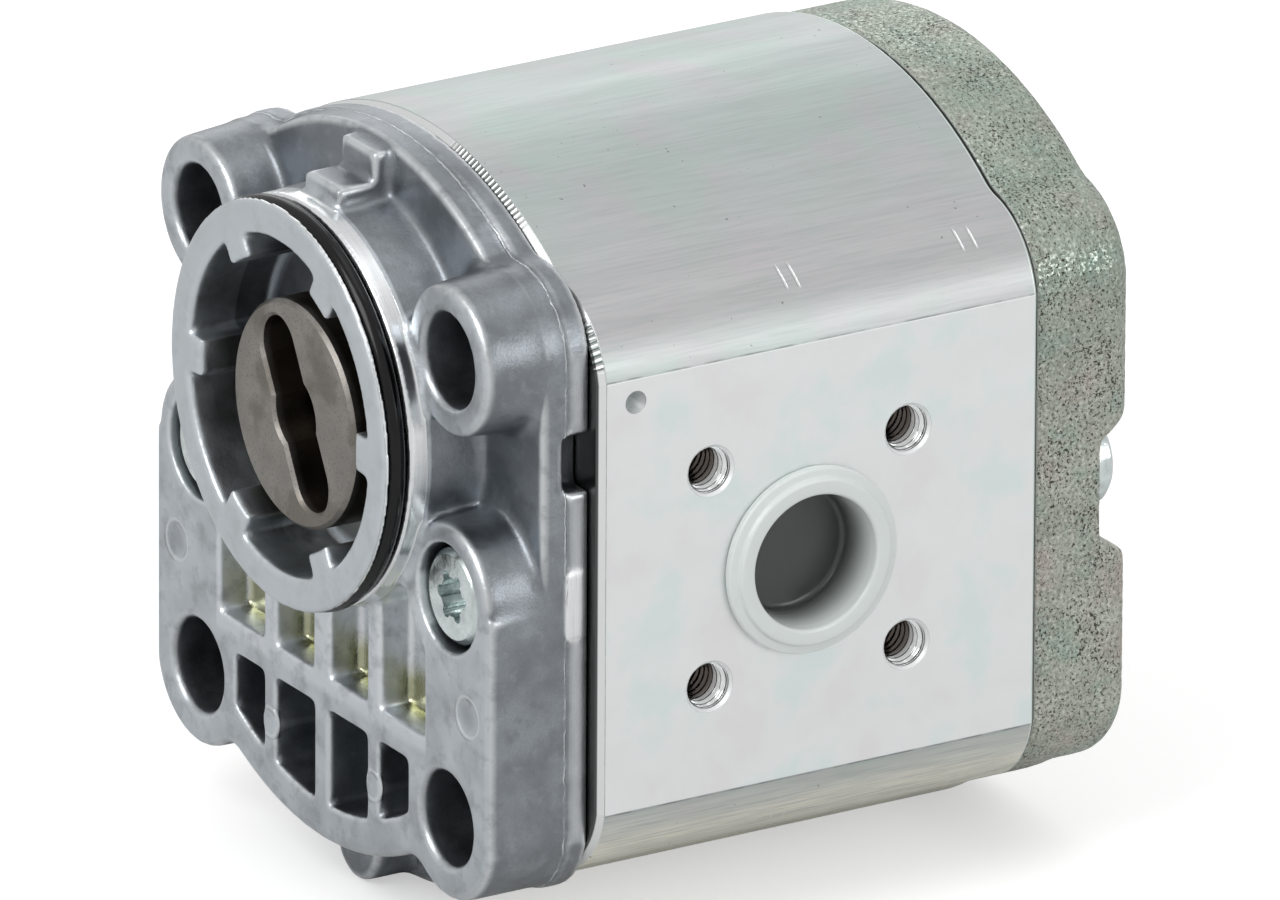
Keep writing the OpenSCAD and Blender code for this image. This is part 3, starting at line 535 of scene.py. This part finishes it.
def clamp_mark(add, axes, at_y, z0, z1):
    """Mask of a short leaning scratch at at_y from z0 to z1, on the suction side."""
    x, y, z = axes
    middle = (z0 + z1) / 2
    leaned = add("Math", {0: z, 1: CLAMP_LEAN, 2: y}, operation="MULTIPLY_ADD")
    line = near(add, leaned, at_y + CLAMP_LEAN * middle, 0.1, 0.12)
    reach = near(add, z, middle, abs(z1 - z0) / 2 - 0.6, 0.6)
    return both(add, line, reach, add("MapRange", {0: x, 2: 10 * MM}))


def extruded_aluminium(finish):
    """Aluminium, extruded, with milled port faces and turned ends.

    The die leaves faint lines along Y and the skin is matte, with soft greenish and pinkish clouds
    and a few dark specks. The cutter leaves the port faces brighter and nearly plain, with a nicked
    dark line where they end. The front chamfer is bright and carries chatter marks in places, and
    the shoulders have pairs of short scratches from a clamp.
    """
    material, shader, add, place = start("extruded_aluminium", 1.0, 0.5)
    skin, milling = finish.extruded_aluminium, finish.milled_aluminium
    axes = add("SeparateXYZ", {0: place}).node.outputs
    x, y, z = axes
    out = add("Math", {0: x}, operation="ABSOLUTE")
    height = add("Math", {0: z}, operation="ABSOLUTE")
    front, rear = (corner.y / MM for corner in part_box("pump_body"))
    # Milled faces lie at the port faces' distance from the middle
    face = MOUNTS["suction_bolts"]["pos_m"][0] / MM
    milled = add("MapRange", {0: out, 1: (face - 0.03) * MM, 2: (face - 0.01) * MM})
    clouds = spots(add, place, 9, 3)
    face_colour = painted(add, paint(milling, 0.97), [
        (clouds, 0.35, 0.65, 1, paint(milling)),
        (clouds, 0.52, 0.66, 0.55, paint("#D5E5E2")),
        (clouds, 0.45, 0.36, 0.35, paint("#E6E0E4")),
    ])
    nicks = add("MapRange", {0: spots(add, place, 1.3, 4, (1, 2.5, 1)), 1: 0.4, 2: 0.6, 3: 0.1, 4: 0.75})
    border = both(add, near(add, out, face - 0.05, 0.01, 0.03), nicks)
    # Countersinks of the bolt holes
    sunk = both(add, near(add, out, face - 0.6, 0.55, 0.02), near(add, z, 0, 19, 0.1),
                near(add, y, (front + rear) / 2, 30, 0.1))
    # Front chamfer: bright, with duller stretches on its upper side where the cutter chattered
    chamfer = near(add, y, front + 0.4, 0.5, 0.04)
    turn = add("Math", {0: z, 1: x}, operation="ARCTAN2")
    wave = both(add, turn, 2 * math.pi * CHATTER_R / CHATTER_GAP)
    wave = add("Math", {0: wave}, operation="SINE")
    corner = both(add, near(add, x, 40, 4, 0.1), near(add, z, 32.5, 1.5, 1.5))
    dull = both(add, either(add, near(add, x, 15.5, 3, 6), corner),
                add("Math", {0: z, 1: 24 * MM}, operation="GREATER_THAN"))
    chatter = both(add, wave, add("MapRange", {0: dull, 2: 0.4}))
    chamfer_colour = painted(add, paint("#F2F4F4"), [
        (dull, 0, 1, 0.75, paint("#9AA3A0")),
        (chatter, -0.1, 0.7, 0.8, paint("#606664")),
    ])
    shoulder = both(add, add("MapRange", {0: height, 1: 27 * MM, 2: 34 * MM}),
                    add("MapRange", {0: out, 1: 20 * MM, 2: 36 * MM}))
    lines = spots(add, place, 0.36, 4, (1, 26, 1), 0.6)
    bands = spots(add, place, 3.4, 4, (1, 14, 1))
    marks = either(add, *(clamp_mark(add, axes, *mark) for mark in CLAMP_MARKS))
    base = painted(add, paint(skin), [
        (spots(add, place, 13, 3), 0.42, 0.62, 1, paint("#B6C3BE")),
        (spots(add, place, 11, 3, (1.2, 1, 0.9)), 0.5, 0.68, 0.6, paint("#C1BBBF")),
        (shoulder, 0, 1, 0.65, paint("#C4BFC2")),
        # Painted light on the lower shoulder, nearly white towards the bottom
        (z, -28 * MM, -34 * MM, 0.95, paint("#FAF8EC")),
        (lines, 0.42, 0.66, 0.45, paint(skin, 0.8)),
        (bands, 0.5, 0.7, 0.3, paint(skin, 0.86)),
        (spots(add, place, 0.8, 1), 0.77, 0.8, 0.7, paint("#6E7272")),
        (border, 0, 1, 1, paint("#7B807F")),
        (milled, 0, 1, 1, face_colour),
        (sunk, 0, 1, 1, paint("#F0F2F2")),
        (chamfer, 0, 1, 1, chamfer_colour),
        # Painted shade in the joints with both covers, and a painted highlight on the edge before the rear
        # one
        (near(add, y, front, 0.2, 0.1), 0, 1, 0.9, paint("#262927")),
        (near(add, y, rear, 0.2, 0.1), 0, 1, 0.9, paint("#262927")),
        (near(add, y, rear - 0.55, 0.12, 0.08), 0, 1, 1, paint("#DCE6E2")),
        (marks, 0, 1, 0.6, paint("#F0F2F1")),
    ])
    rough = add("MapRange", {0: bands, 1: 0.3, 2: 0.7, 3: 0.46, 4: 0.54})
    rough = add("Mix", {0: chamfer, 2: rough, 3: 0.3}, data_type="FLOAT")
    wire(shader, {"Base Color": base, "Roughness": rough})
    # The cutter's centre is so far off that its marks cross the faces as wide arcs
    arcs = add("VectorMath", {0: place, 1: (0, MILL_Y * MM, MILL_Z * MM)}, operation="SUBTRACT")
    arcs = add("VectorMath", {0: arcs}, "Value", operation="LENGTH")
    arcs = add("Math", {0: both(add, arcs, 2 * math.pi / (MILL_GAP * MM))}, operation="SINE")
    unmilled = add("Math", {0: 1.0, 1: milled}, operation="SUBTRACT")
    relief(add, shader, [
        (both(add, lines, unmilled), 0.012),
        (both(add, marks, -1.0), 0.12),
        (both(add, chatter, chamfer), 0.05),
        (both(add, arcs, milled), 0.0008),
    ])
    return material


def cast_iron(finish):
    """Grey iron, sand-cast and shot-blasted.

    The skin is a fine light grain with small dark pits between the dents of the shot, in greenish,
    brownish and pinkish greys. The glints of the dents are painted in as lighter grain, and the
    hollows and the joint with the body are darkened with painted shade.
    """
    material, shader, add, place = start("cast_iron", 0.8, 0.5)
    skin = finish.cast_iron
    hollow, worked = (add("Attribute", out="Fac", attribute_name=name) for name in ("hollow", "worked"))
    _, y, z = add("SeparateXYZ", {0: place}).node.outputs
    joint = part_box("pump_body")[1].y
    grain = spots(add, place, 0.5, 3, roughness=0.65)
    specks = spots(add, place, 0.34, 2, roughness=0.6)
    tints = spots(add, place, 8, 6, roughness=0.62)
    # Specks crowd together in some places and are rare in others
    crowds = add("MapRange", {0: spots(add, place, 7, 3), 1: 0.38, 2: 0.62, 3: -0.05, 4: 0.03})
    crowds = add("Math", {0: specks, 1: crowds}, operation="ADD")
    base = painted(add, paint(skin, 0.88), [
        (spots(add, place, 6, 4), 0.35, 0.65, 1, paint(skin, 1.1)),
        (tints, 0.52, 0.66, 0.7, paint("#9FB4A8")),
        (tints, 0.46, 0.34, 0.7, paint("#BDB0A8")),
        (z, 8 * MM, 28 * MM, 0.4, paint("#8EA396")),
        (grain, 0.52, 0.62, 0.55, paint("#84867B")),
        (crowds, 0.565, 0.62, 0.95, paint("#3A382F")),
        # Painted glints on the dents of the shot
        (grain, 0.42, 0.33, 0.6, paint("#DDE0D8")),
        # Painted shade in the hollows
        (hollow, 0.2, 1, 0.5, paint(skin, 0.5)),
        (worked, 0, 1, 1, paint("#AEB2AE")),
        # Painted shade in the joint with the body
        (y, joint + 0.4 * MM, joint + 0.25 * MM, 0.9, paint("#1D201E")),
    ])
    rough = add("MapRange", {0: grain, 1: 0.35, 2: 0.65, 3: 0.34, 4: 0.66})
    wire(shader, {"Base Color": base, "Roughness": rough})
    unworked = add("Math", {0: 1.0, 1: worked}, operation="SUBTRACT")
    dents = both(add, add("MapRange", {0: grain, 1: 0.62, 2: 0.46}), unworked)
    relief(add, shader, [(dents, 0.09), (add("MapRange", {0: specks, 1: 0.72, 2: 0.58}), 0.07)])
    return material


def sintered_steel(finish):
    """Steel, pressed from powder and sintered: matte warm grey with fine pores, clouds and oily stains."""
    material, shader, add, place = start("sintered_steel", 1.0, 0.42)
    skin = finish.sintered_steel
    y = add("SeparateXYZ", {0: place}, "Y")
    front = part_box("coupling_disc")[0].y
    pores = spots(add, place, 0.3, 3)
    clouds = spots(add, place, 5, 3)
    base = painted(add, paint(skin, 0.85), [
        (clouds, 0.35, 0.65, 1, paint(skin, 1.1)),
        (spots(add, place, 9, 4), 0.5, 0.58, 0.5, paint("#5E594E")),
        (pores, 0.55, 0.72, 0.7, paint(skin, 0.45)),
        # Painted shade in the slot, darker deeper in
        (y, front + 0.3 * MM, front + 1.5 * MM, 0.85, paint("#2E2618")),
    ])
    rough = add("MapRange", {0: clouds, 1: 0.3, 2: 0.7, 3: 0.34, 4: 0.5})
    wire(shader, {"Base Color": base, "Roughness": rough})
    relief(add, shader, [(pores, 0.02)])
    return material


def zinc_plated_steel(finish):
    """Steel, cold-headed and zinc-plated: bright bluish white with small clouds."""
    material, shader, add, place = start("zinc_plated_steel", 1.0, 0.24)
    skin = finish.zinc
    clouds = spots(add, place, 1.8, 4)
    base = painted(add, paint(skin, 0.82), [(clouds, 0.35, 0.65, 1, paint(skin, 1.1))])
    rough = add("MapRange", {0: clouds, 1: 0.3, 2: 0.7, 3: 0.18, 4: 0.32})
    wire(shader, {"Base Color": base, "Roughness": rough})
    relief(add, shader, [(spots(add, place, 0.7, 3), 0.03)])
    return material


def cut_aluminium_thread(finish):
    """Aluminium, tapped: bright flanks at the mouth, and oil and shade further in."""
    material, shader, add, place = start("cut_aluminium_thread", 1.0, 0.16)
    out = add("Math", {0: add("SeparateXYZ", {0: place}, "X")}, operation="ABSOLUTE")
    face = MOUNTS["suction_bolts"]["pos_m"][0]
    base = painted(add, paint(finish.milled_aluminium, 1.05), [
        (out, face - 1.6 * MM, face - 4.2 * MM, 0.92, paint("#3A2A1E")),
    ])
    wire(shader, {"Base Color": base})
    relief(add, shader, [(spots(add, place, 0.4, 3), 0.01)])
    return material


def ground_metal(name, skin, roughness, shade_before=None):
    """Steel, bronze or aluminium, ground or turned: even, with fine lines round the axis along Y.

    Painted shade darkens what lies in front of a place along Y, in metres, where one is given.
    """
    material, shader, add, place = start(name, 1.0, roughness)
    lines = spots(add, place, 0.12, 3, (60, 1, 60))
    layers = [(lines, 0.3, 0.7, 1, paint(skin, 1.08))]
    # Painted shade in front of the given place
    if shade_before is not None:
        y = add("SeparateXYZ", {0: place}, "Y")
        layers.append((y, shade_before, shade_before - 0.5 * MM, 0.85, paint("#2E2618")))
    base = painted(add, paint(skin, 0.85), layers)
    rough = add("MapRange", {0: lines, 1: 0.3, 2: 0.7, 3: roughness - 0.06, 4: roughness + 0.06})
    wire(shader, {"Base Color": base, "Roughness": rough})
    relief(add, shader, [(lines, 0.004)])
    return material


def moulded(name, skin, roughness, size, gloss=0.5):
    """Rubber or PTFE, moulded: no metal, a faint mottle and a soft sheen."""
    material, shader, add, place = start(name, 0.0, roughness)
    clouds = spots(add, place, size, 3)
    base = painted(add, paint(skin, 0.8), [(clouds, 0, 1, 1, paint(skin, 1.2))])
    rough = add("MapRange", {0: clouds, 1: 0.3, 2: 0.7, 3: roughness - 0.05, 4: roughness + 0.08})
    wire(shader, {"Base Color": base, "Roughness": rough, "Specular IOR Level": gloss})
    relief(add, shader, [(spots(add, place, size / 3, 2), 0.01)])
    return material


def natural_polyethylene(finish):
    """Polyethylene, injection-moulded and undyed.

    It is milky where light comes in from the rim, and nearly clear at the thin floor of the cup, so
    that the dark of the port shows through there. Its colour is also darkened deeper in the cup with
    painted shade.
    """
    material, shader, add, place = start("natural_polyethylene", 0.0, 0.24)
    skin = finish.polyethylene
    out = add("Math", {0: add("SeparateXYZ", {0: place}, "X")}, operation="ABSOLUTE")
    face = MOUNTS["suction_bolts"]["pos_m"][0]
    base = painted(add, paint(skin, 0.96), [
        (spots(add, place, 4, 3), 0, 1, 1, paint(skin)),
        # Painted shade deeper in the cup
        (out, face - 0.5 * MM, face - 5.2 * MM, 1, paint("#858A89")),
    ])
    clear = add("MapRange", {0: out, 1: face + 0.6 * MM, 2: face - 4.8 * MM, 3: 0.1, 4: 0.82})
    wire(shader, {"Base Color": base, "Transmission Weight": clear, "IOR": 1.51})
    return material


def pale_floor():
    """Matte white board. To the camera it is lifted towards white, and keeps the soft shadow."""
    material, shader, add, _ = start("pale_floor", 0.0, 0.9)
    lift = both(add, add("LightPath", out="Is Camera Ray"), 0.48)
    wire(shader, {"Base Color": (0.63, 0.63, 0.63, 1), "Emission Color": (1, 1, 1, 1),
                  "Emission Strength": lift})
    return material


# Operators

class GEARPUMP_OT_front_cover(bpy.types.Operator):
    """Make the die-cast front cover with its fillets"""
    bl_idname = "gearpump.front_cover"
    bl_label = "Front Cover"

    def execute(self, context):
        sizes = context.scene.gearpump_castings
        pilot = MOUNTS["pilot"]["dims"]["r_mm"]
        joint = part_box("front_cover")[1].y / MM
        groove, fade = 3.4, 0.3

        def worked(points):
            """1 on the turned flank of the pilot and in its groove, on the joint face and on the pads.

            Each is a distance to its border over the width in which it fades in. The flank lies between
            the radii pilot - groove and pilot + fade, from 0.3 to 6 mm before the mounting face.
            """
            x, y, z = points.T
            radius = np.hypot(x, z - PILOT_Z)
            side = np.abs(x).max()
            flank = [radius - pilot + groove, pilot + fade - radius, -0.3 - y, y + 6.0]
            flank = np.minimum.reduce(flank) / fade
            face = (y - joint + 0.4) / fade
            pads = (np.abs(x) - side + 0.25) / 0.1
            return np.clip(np.maximum.reduce([flank, face, pads]), 0, 1)

        def roughness(points):
            """The die leaves the skin smooth."""
            return np.zeros(len(points))

        mesh = casting("front_cover", sizes, sizes.cover_grid, sizes.cover_rounds, worked, roughness)
        material = die_cast_aluminium(context.scene.gearpump_finishes)
        piece = new_piece("front_cover_casting", mesh, material, "housing")
        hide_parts("front_cover")
        return {"FINISHED"}


class GEARPUMP_OT_end_cover(bpy.types.Operator):
    """Make the cast-iron end cover with its rough skin"""
    bl_idname = "gearpump.end_cover"
    bl_label = "End Cover"

    def execute(self, context):
        sizes = context.scene.gearpump_castings
        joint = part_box("end_cover")[0].y / MM
        deepest = 0.06

        def worked(points):
            """1 on the joint face."""
            return (points[:, 1] < joint + 0.4).astype(float)

        def roughness(points):
            """Depth of the skin's dents: waves about 2 mm long that cross, from 0 to deepest."""
            x, y, z = points.T
            waves = np.sin(2.1 * x + 1.3 * y) * np.sin(1.7 * y - 2.3 * z + 1) + np.sin(2.9 * z + 0.9 * x + 2)
            return (0.5 + waves / 4) * deepest * (1 - worked(points))

        mesh = casting("end_cover", sizes, sizes.end_grid, sizes.end_rounds, worked, roughness)
        material = cast_iron(context.scene.gearpump_finishes)
        piece = new_piece("end_cover_casting", mesh, material, "housing")
        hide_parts("end_cover")
        return {"FINISHED"}


class GEARPUMP_OT_port_threads(bpy.types.Operator):
    """Cut the threads of the bolt holes round both ports"""
    bl_idname = "gearpump.port_threads"
    bl_label = "Port Threads"

    def execute(self, context):
        sizes = context.scene.gearpump_ports
        pitch, crest, depth = (v / MM for v in (sizes.pitch, sizes.crest, sizes.thread_depth))
        material = cut_aluminium_thread(context.scene.gearpump_finishes)
        for port in ("suction", "pressure"):
            mount = MOUNTS[port + "_bolts"]
            side = mount["axis"][0]
            root = mount["dims"]["hole_r_mm"]
            grids = []
            for turn in np.radians([45, 135, 225, 315]):
                reach = mount["dims"]["pcd_mm"] / 2
                offset = [0, reach * math.cos(turn), reach * math.sin(turn)]
                centre = np.array(mount["pos_m"]) / MM + offset
                grids.append(thread_grid(centre, -side, root, crest, pitch, depth))
            mesh = mesh_of_grids(port + "_threads", grids, wrap_rows=True)
            new_piece(port + "_threads", mesh, material, "housing")
        return {"FINISHED"}


def thread_grid(centre, inward, root, crest, pitch, depth, columns=72, per_pitch=12):
    """Closed sleeve whose bore is a screw thread.

    At angle t and depth s the bore's radius swings between crest and root with
    phase = s / pitch - t / one turn: a ridge with a narrow flat on top. It starts under the
    countersink and ends at the depth, at the root both times, and a plain wall that is sunk just
    into the body's metal closes the sleeve.
    """
    # Start under the countersink, and radii of the sleeve inside and outside
    sunk, bore, wall = 0.75, root - 0.03, root + 0.04
    t = np.linspace(0, 2 * math.pi, columns, endpoint=False)
    s = np.linspace(sunk, depth, int(depth / pitch * per_pitch))[:, None]
    phase = (s / pitch - t / (2 * math.pi)) % 1
    # Ridge: a flat for the middle sixth of the pitch, and flanks that end 0.43 pitches from its middle
    ridge = np.clip(1.25 - np.abs(phase - 0.5) * 2.9, 0, 1)
    # It grows in over the first 0.8 pitches and fades out over the last one
    mouth = np.clip((s - sunk) / (0.8 * pitch), 0, 1) * np.clip((depth - s) / pitch, 0, 1)
    radius = np.concatenate([bore - (bore - crest) * ridge * mouth, np.full((2, columns), wall)])
    ends = [np.full((1, columns), end) for end in (depth, sunk)]
    s = np.concatenate([np.broadcast_to(s, (len(s), columns)), *ends])
    x = centre[0] + inward * s
    y = centre[1] + radius * np.cos(t)
    z = centre[2] + radius * np.sin(t)
    return np.stack([x, y, z], -1)


class GEARPUMP_OT_port_plugs(bpy.types.Operator):
    """Mould the plugs that close both ports"""
    bl_idname = "gearpump.port_plugs"
    bl_label = "Port Plugs"

    def execute(self, context):
        wall = context.scene.gearpump_ports.plug_wall / MM
        material = natural_polyethylene(context.scene.gearpump_finishes)
        for port, body in (("suction", "suction_cap"), ("pressure", "pressure_cap")):
            node = port + "_plug"
            low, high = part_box(node)
            side = MOUNTS[port + "_bolts"]["axis"][0]
            face = MOUNTS[port + "_bolts"]["pos_m"][0]
            # Radii from the port's axis: of the flange, of the neck in the port, and of the rim's bead
            outer = (high.z - low.z) / 2 / MM
            neck = outer - 2.2
            bead = neck + 0.9
            # Of the inside of the cup
            cup = neck - wall
            # Heights of both ends, from the port face
            tip = ((face - low.x) if side > 0 else (high.x - face)) / MM
            head = ((high.x - face) if side > 0 else (face - low.x)) / MM
            profile = rounded([
                (0, -tip, 0), (neck, -tip, 0.9), (neck, 0.02, 0.2),
                (outer, 0.02, 0.3), (outer, head - 0.75, 0.35),
                (bead + 0.15, head - 0.6, 0.3), (bead - 0.1, head, 0.42), (cup + 0.2, head, 0.5),
                (cup, head - 1.5, 0.6), (cup - 0.4, wall - tip, 0.8), (0, wall - tip, 0),
            ])
            centre = np.array(MOUNTS[port + "_bolts"]["pos_m"]) / MM
            mesh = mesh_of_grids(node + "_moulding", [turned(profile, centre, (side, 0, 0), 144)])
            piece = new_piece(node + "_moulding", mesh, material, body)
            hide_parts(node)
        return {"FINISHED"}


class GEARPUMP_OT_finishes(bpy.types.Operator):
    """Give the solids that stay as they are their finishes"""
    bl_idname = "gearpump.finishes"
    bl_label = "Finishes"

    def execute(self, context):
        finish = context.scene.gearpump_finishes
        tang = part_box("coupling_disc")[1].y
        made = {
            "extruded_aluminium": extruded_aluminium(finish),
            "sintered_steel": sintered_steel(finish),
            "zinc_plated_steel": zinc_plated_steel(finish),
            # The gear steel is darkened with painted shade where it lies in the disc's slot
            "gear_steel": ground_metal("gear_steel", "#9A9DA0", 0.3, tang),
            "dowel_steel": ground_metal("dowel_steel", "#A9ADB1", 0.2),
            "spring_steel": ground_metal("spring_steel", "#6E7276", 0.35),
            "bearing_bronze": ground_metal("bearing_bronze", "#B08D57", 0.34),
            "block_aluminium": ground_metal("block_aluminium", "#B4B8BC", 0.36),
            "seal_rubber": moulded("seal_rubber", "#2C2A2A", 0.5, 2),
            "o_ring_rubber": moulded("o_ring_rubber", finish.rubber, 0.16, 3, 0.3),
            "seal_plastic": moulded("seal_plastic", "#E6E2D4", 0.45, 2),
        }
        slots = {part["node"]: part["material_slot"] for part in frame["record"]["subparts"]}
        for name, piece in frame["nodes"].items():
            if slots[name] in made:
                piece.data.materials.clear()
                piece.data.materials.append(made[slots[name]])
        return {"FINISHED"}


class GEARPUMP_OT_studio(bpy.types.Operator):
    """Set up the floor, the lamps, the white background and the camera"""
    bl_idname = "gearpump.studio"
    bl_label = "Studio"

    def execute(self, context):
        studio = context.scene.gearpump_studio
        scene = context.scene
        scene.view_settings.view_transform = "Standard"
        # Floor of 6 by 6 metres, just under the pump
        floor_z = START_BOX[0][2] - 0.3 * MM
        edge = np.linspace(-3, 3, 13)
        x, y = np.meshgrid(edge, edge)
        mesh = bpy.data.meshes.new("floor")
        rows = np.arange(x.size).reshape(x.shape)
        faces = np.stack([rows[:-1, :-1], rows[:-1, 1:], rows[1:, 1:], rows[1:, :-1]], -1).reshape(-1, 4)
        points = np.stack([x, y, np.full_like(x, floor_z)], -1).reshape(-1, 3)
        mesh.from_pydata(points, [], faces.tolist())
        floor = bpy.data.objects.new("floor", mesh)
        scene.collection.objects.link(floor)
        floor.data.materials.append(pale_floor())

        world = bpy.data.worlds.new("studio")
        scene.world = world
        world.use_nodes = True
        tree = world.node_tree
        tree.nodes.clear()
        add = partial(add_node, tree)
        path = add("LightPath").node.outputs
        seen = either(add, path["Is Camera Ray"], path["Is Transmission Ray"])
        strength = add("MapRange", {0: seen, 3: studio.room, 4: 1.0})
        sky = add("Background", {"Color": (1, 1, 1, 1), "Strength": strength})
        wire(tree.nodes.new("ShaderNodeOutputWorld"), {"Surface": sky})

        turn, rise, tilt = studio.turn, studio.rise, studio.tilt
        back = Vector((math.sin(turn) * math.cos(rise), -math.cos(turn) * math.cos(rise), math.sin(rise)))
        flat = Vector((math.cos(turn), math.sin(turn), 0))
        over = back.cross(flat)
        right = flat * math.cos(tilt) + over * math.sin(tilt)
        up = over * math.cos(tilt) - flat * math.sin(tilt)
        target = right * studio.view_right + up * studio.view_up
        camera = bpy.data.objects.new("camera", bpy.data.cameras.new("camera"))
        scene.collection.objects.link(camera)
        camera.data.sensor_width = 36
        camera.data.lens = studio.focal
        camera.data.clip_end = 100
        pose = Matrix((right, up, back)).transposed().to_4x4()
        camera.matrix_world = Matrix.Translation(target + back * studio.distance) @ pose
        scene.camera = camera

        # Lamps point at the middle of the pump: name, power, size and place, in metres
        middle = Vector((0, 0.045, 0))
        lamps = (
            ("key", studio.key, 0.9, middle + back * 0.9 - right * 0.75 + Vector((0, 0, 0.75))),
            ("fill", studio.fill, 0.5, middle + back * 0.8 + right * 1.1 + Vector((0, 0, 0.1))),
            ("top", studio.top, 0.7, middle + Vector((0.1, 0.25, 1.3))),
            ("rear", studio.rear, 0.7, middle + Vector((-0.95, 0.58, 0.5))),
        )
        for name, watts, size, spot in lamps:
            lamp = bpy.data.objects.new(name, bpy.data.lights.new(name, "AREA"))
            lamp.data.energy, lamp.data.size = watts, size
            lamp.location = spot
            lamp.rotation_euler = (spot - middle).to_track_quat("Z", "Y").to_euler()
            scene.collection.objects.link(lamp)
        return {"FINISHED"}


class GEARPUMP_PT_sidebar(bpy.types.Panel):
    """Lists the pump's pieces and their settings"""
    bl_label = "External Gear Pump"
    bl_space_type = "VIEW_3D"
    bl_region_type = "UI"
    bl_category = "Gear Pump"

    def draw(self, context):
        for operator, group in STEPS:
            box = self.layout.box()
            box.operator(operator.bl_idname)
            if group:
                settings = getattr(context.scene, group)
                for name in settings.__annotations__:
                    box.prop(settings, name)


# Operators in the order in which they run, each with the settings shown under it in the panel
STEPS = (
    (GEARPUMP_OT_studio, "gearpump_studio"),
    (GEARPUMP_OT_front_cover, "gearpump_castings"),
    (GEARPUMP_OT_end_cover, None),
    (GEARPUMP_OT_port_threads, "gearpump_ports"),
    (GEARPUMP_OT_port_plugs, None),
    (GEARPUMP_OT_finishes, "gearpump_finishes"),
)
# Settings that the scene holds
GROUPS = {
    "gearpump_castings": CastingSettings,
    "gearpump_ports": PortSettings,
    "gearpump_finishes": FinishSettings,
    "gearpump_studio": StudioSettings,
}
CLASSES = (*GROUPS.values(), *(operator for operator, _ in STEPS), GEARPUMP_PT_sidebar)


def register():
    for each in CLASSES:
        bpy.utils.register_class(each)
    for name, group in GROUPS.items():
        setattr(bpy.types.Scene, name, PointerProperty(type=group))


def unregister():
    for name in GROUPS:
        delattr(bpy.types.Scene, name)
    for each in reversed(CLASSES):
        bpy.utils.unregister_class(each)


def main():
    """Runs the steps in order."""
    register()
    for operator, _ in STEPS:
        name = operator.bl_idname.split(".")[1]
        getattr(bpy.ops.gearpump, name)()


if __name__ == "__main__":
    main()
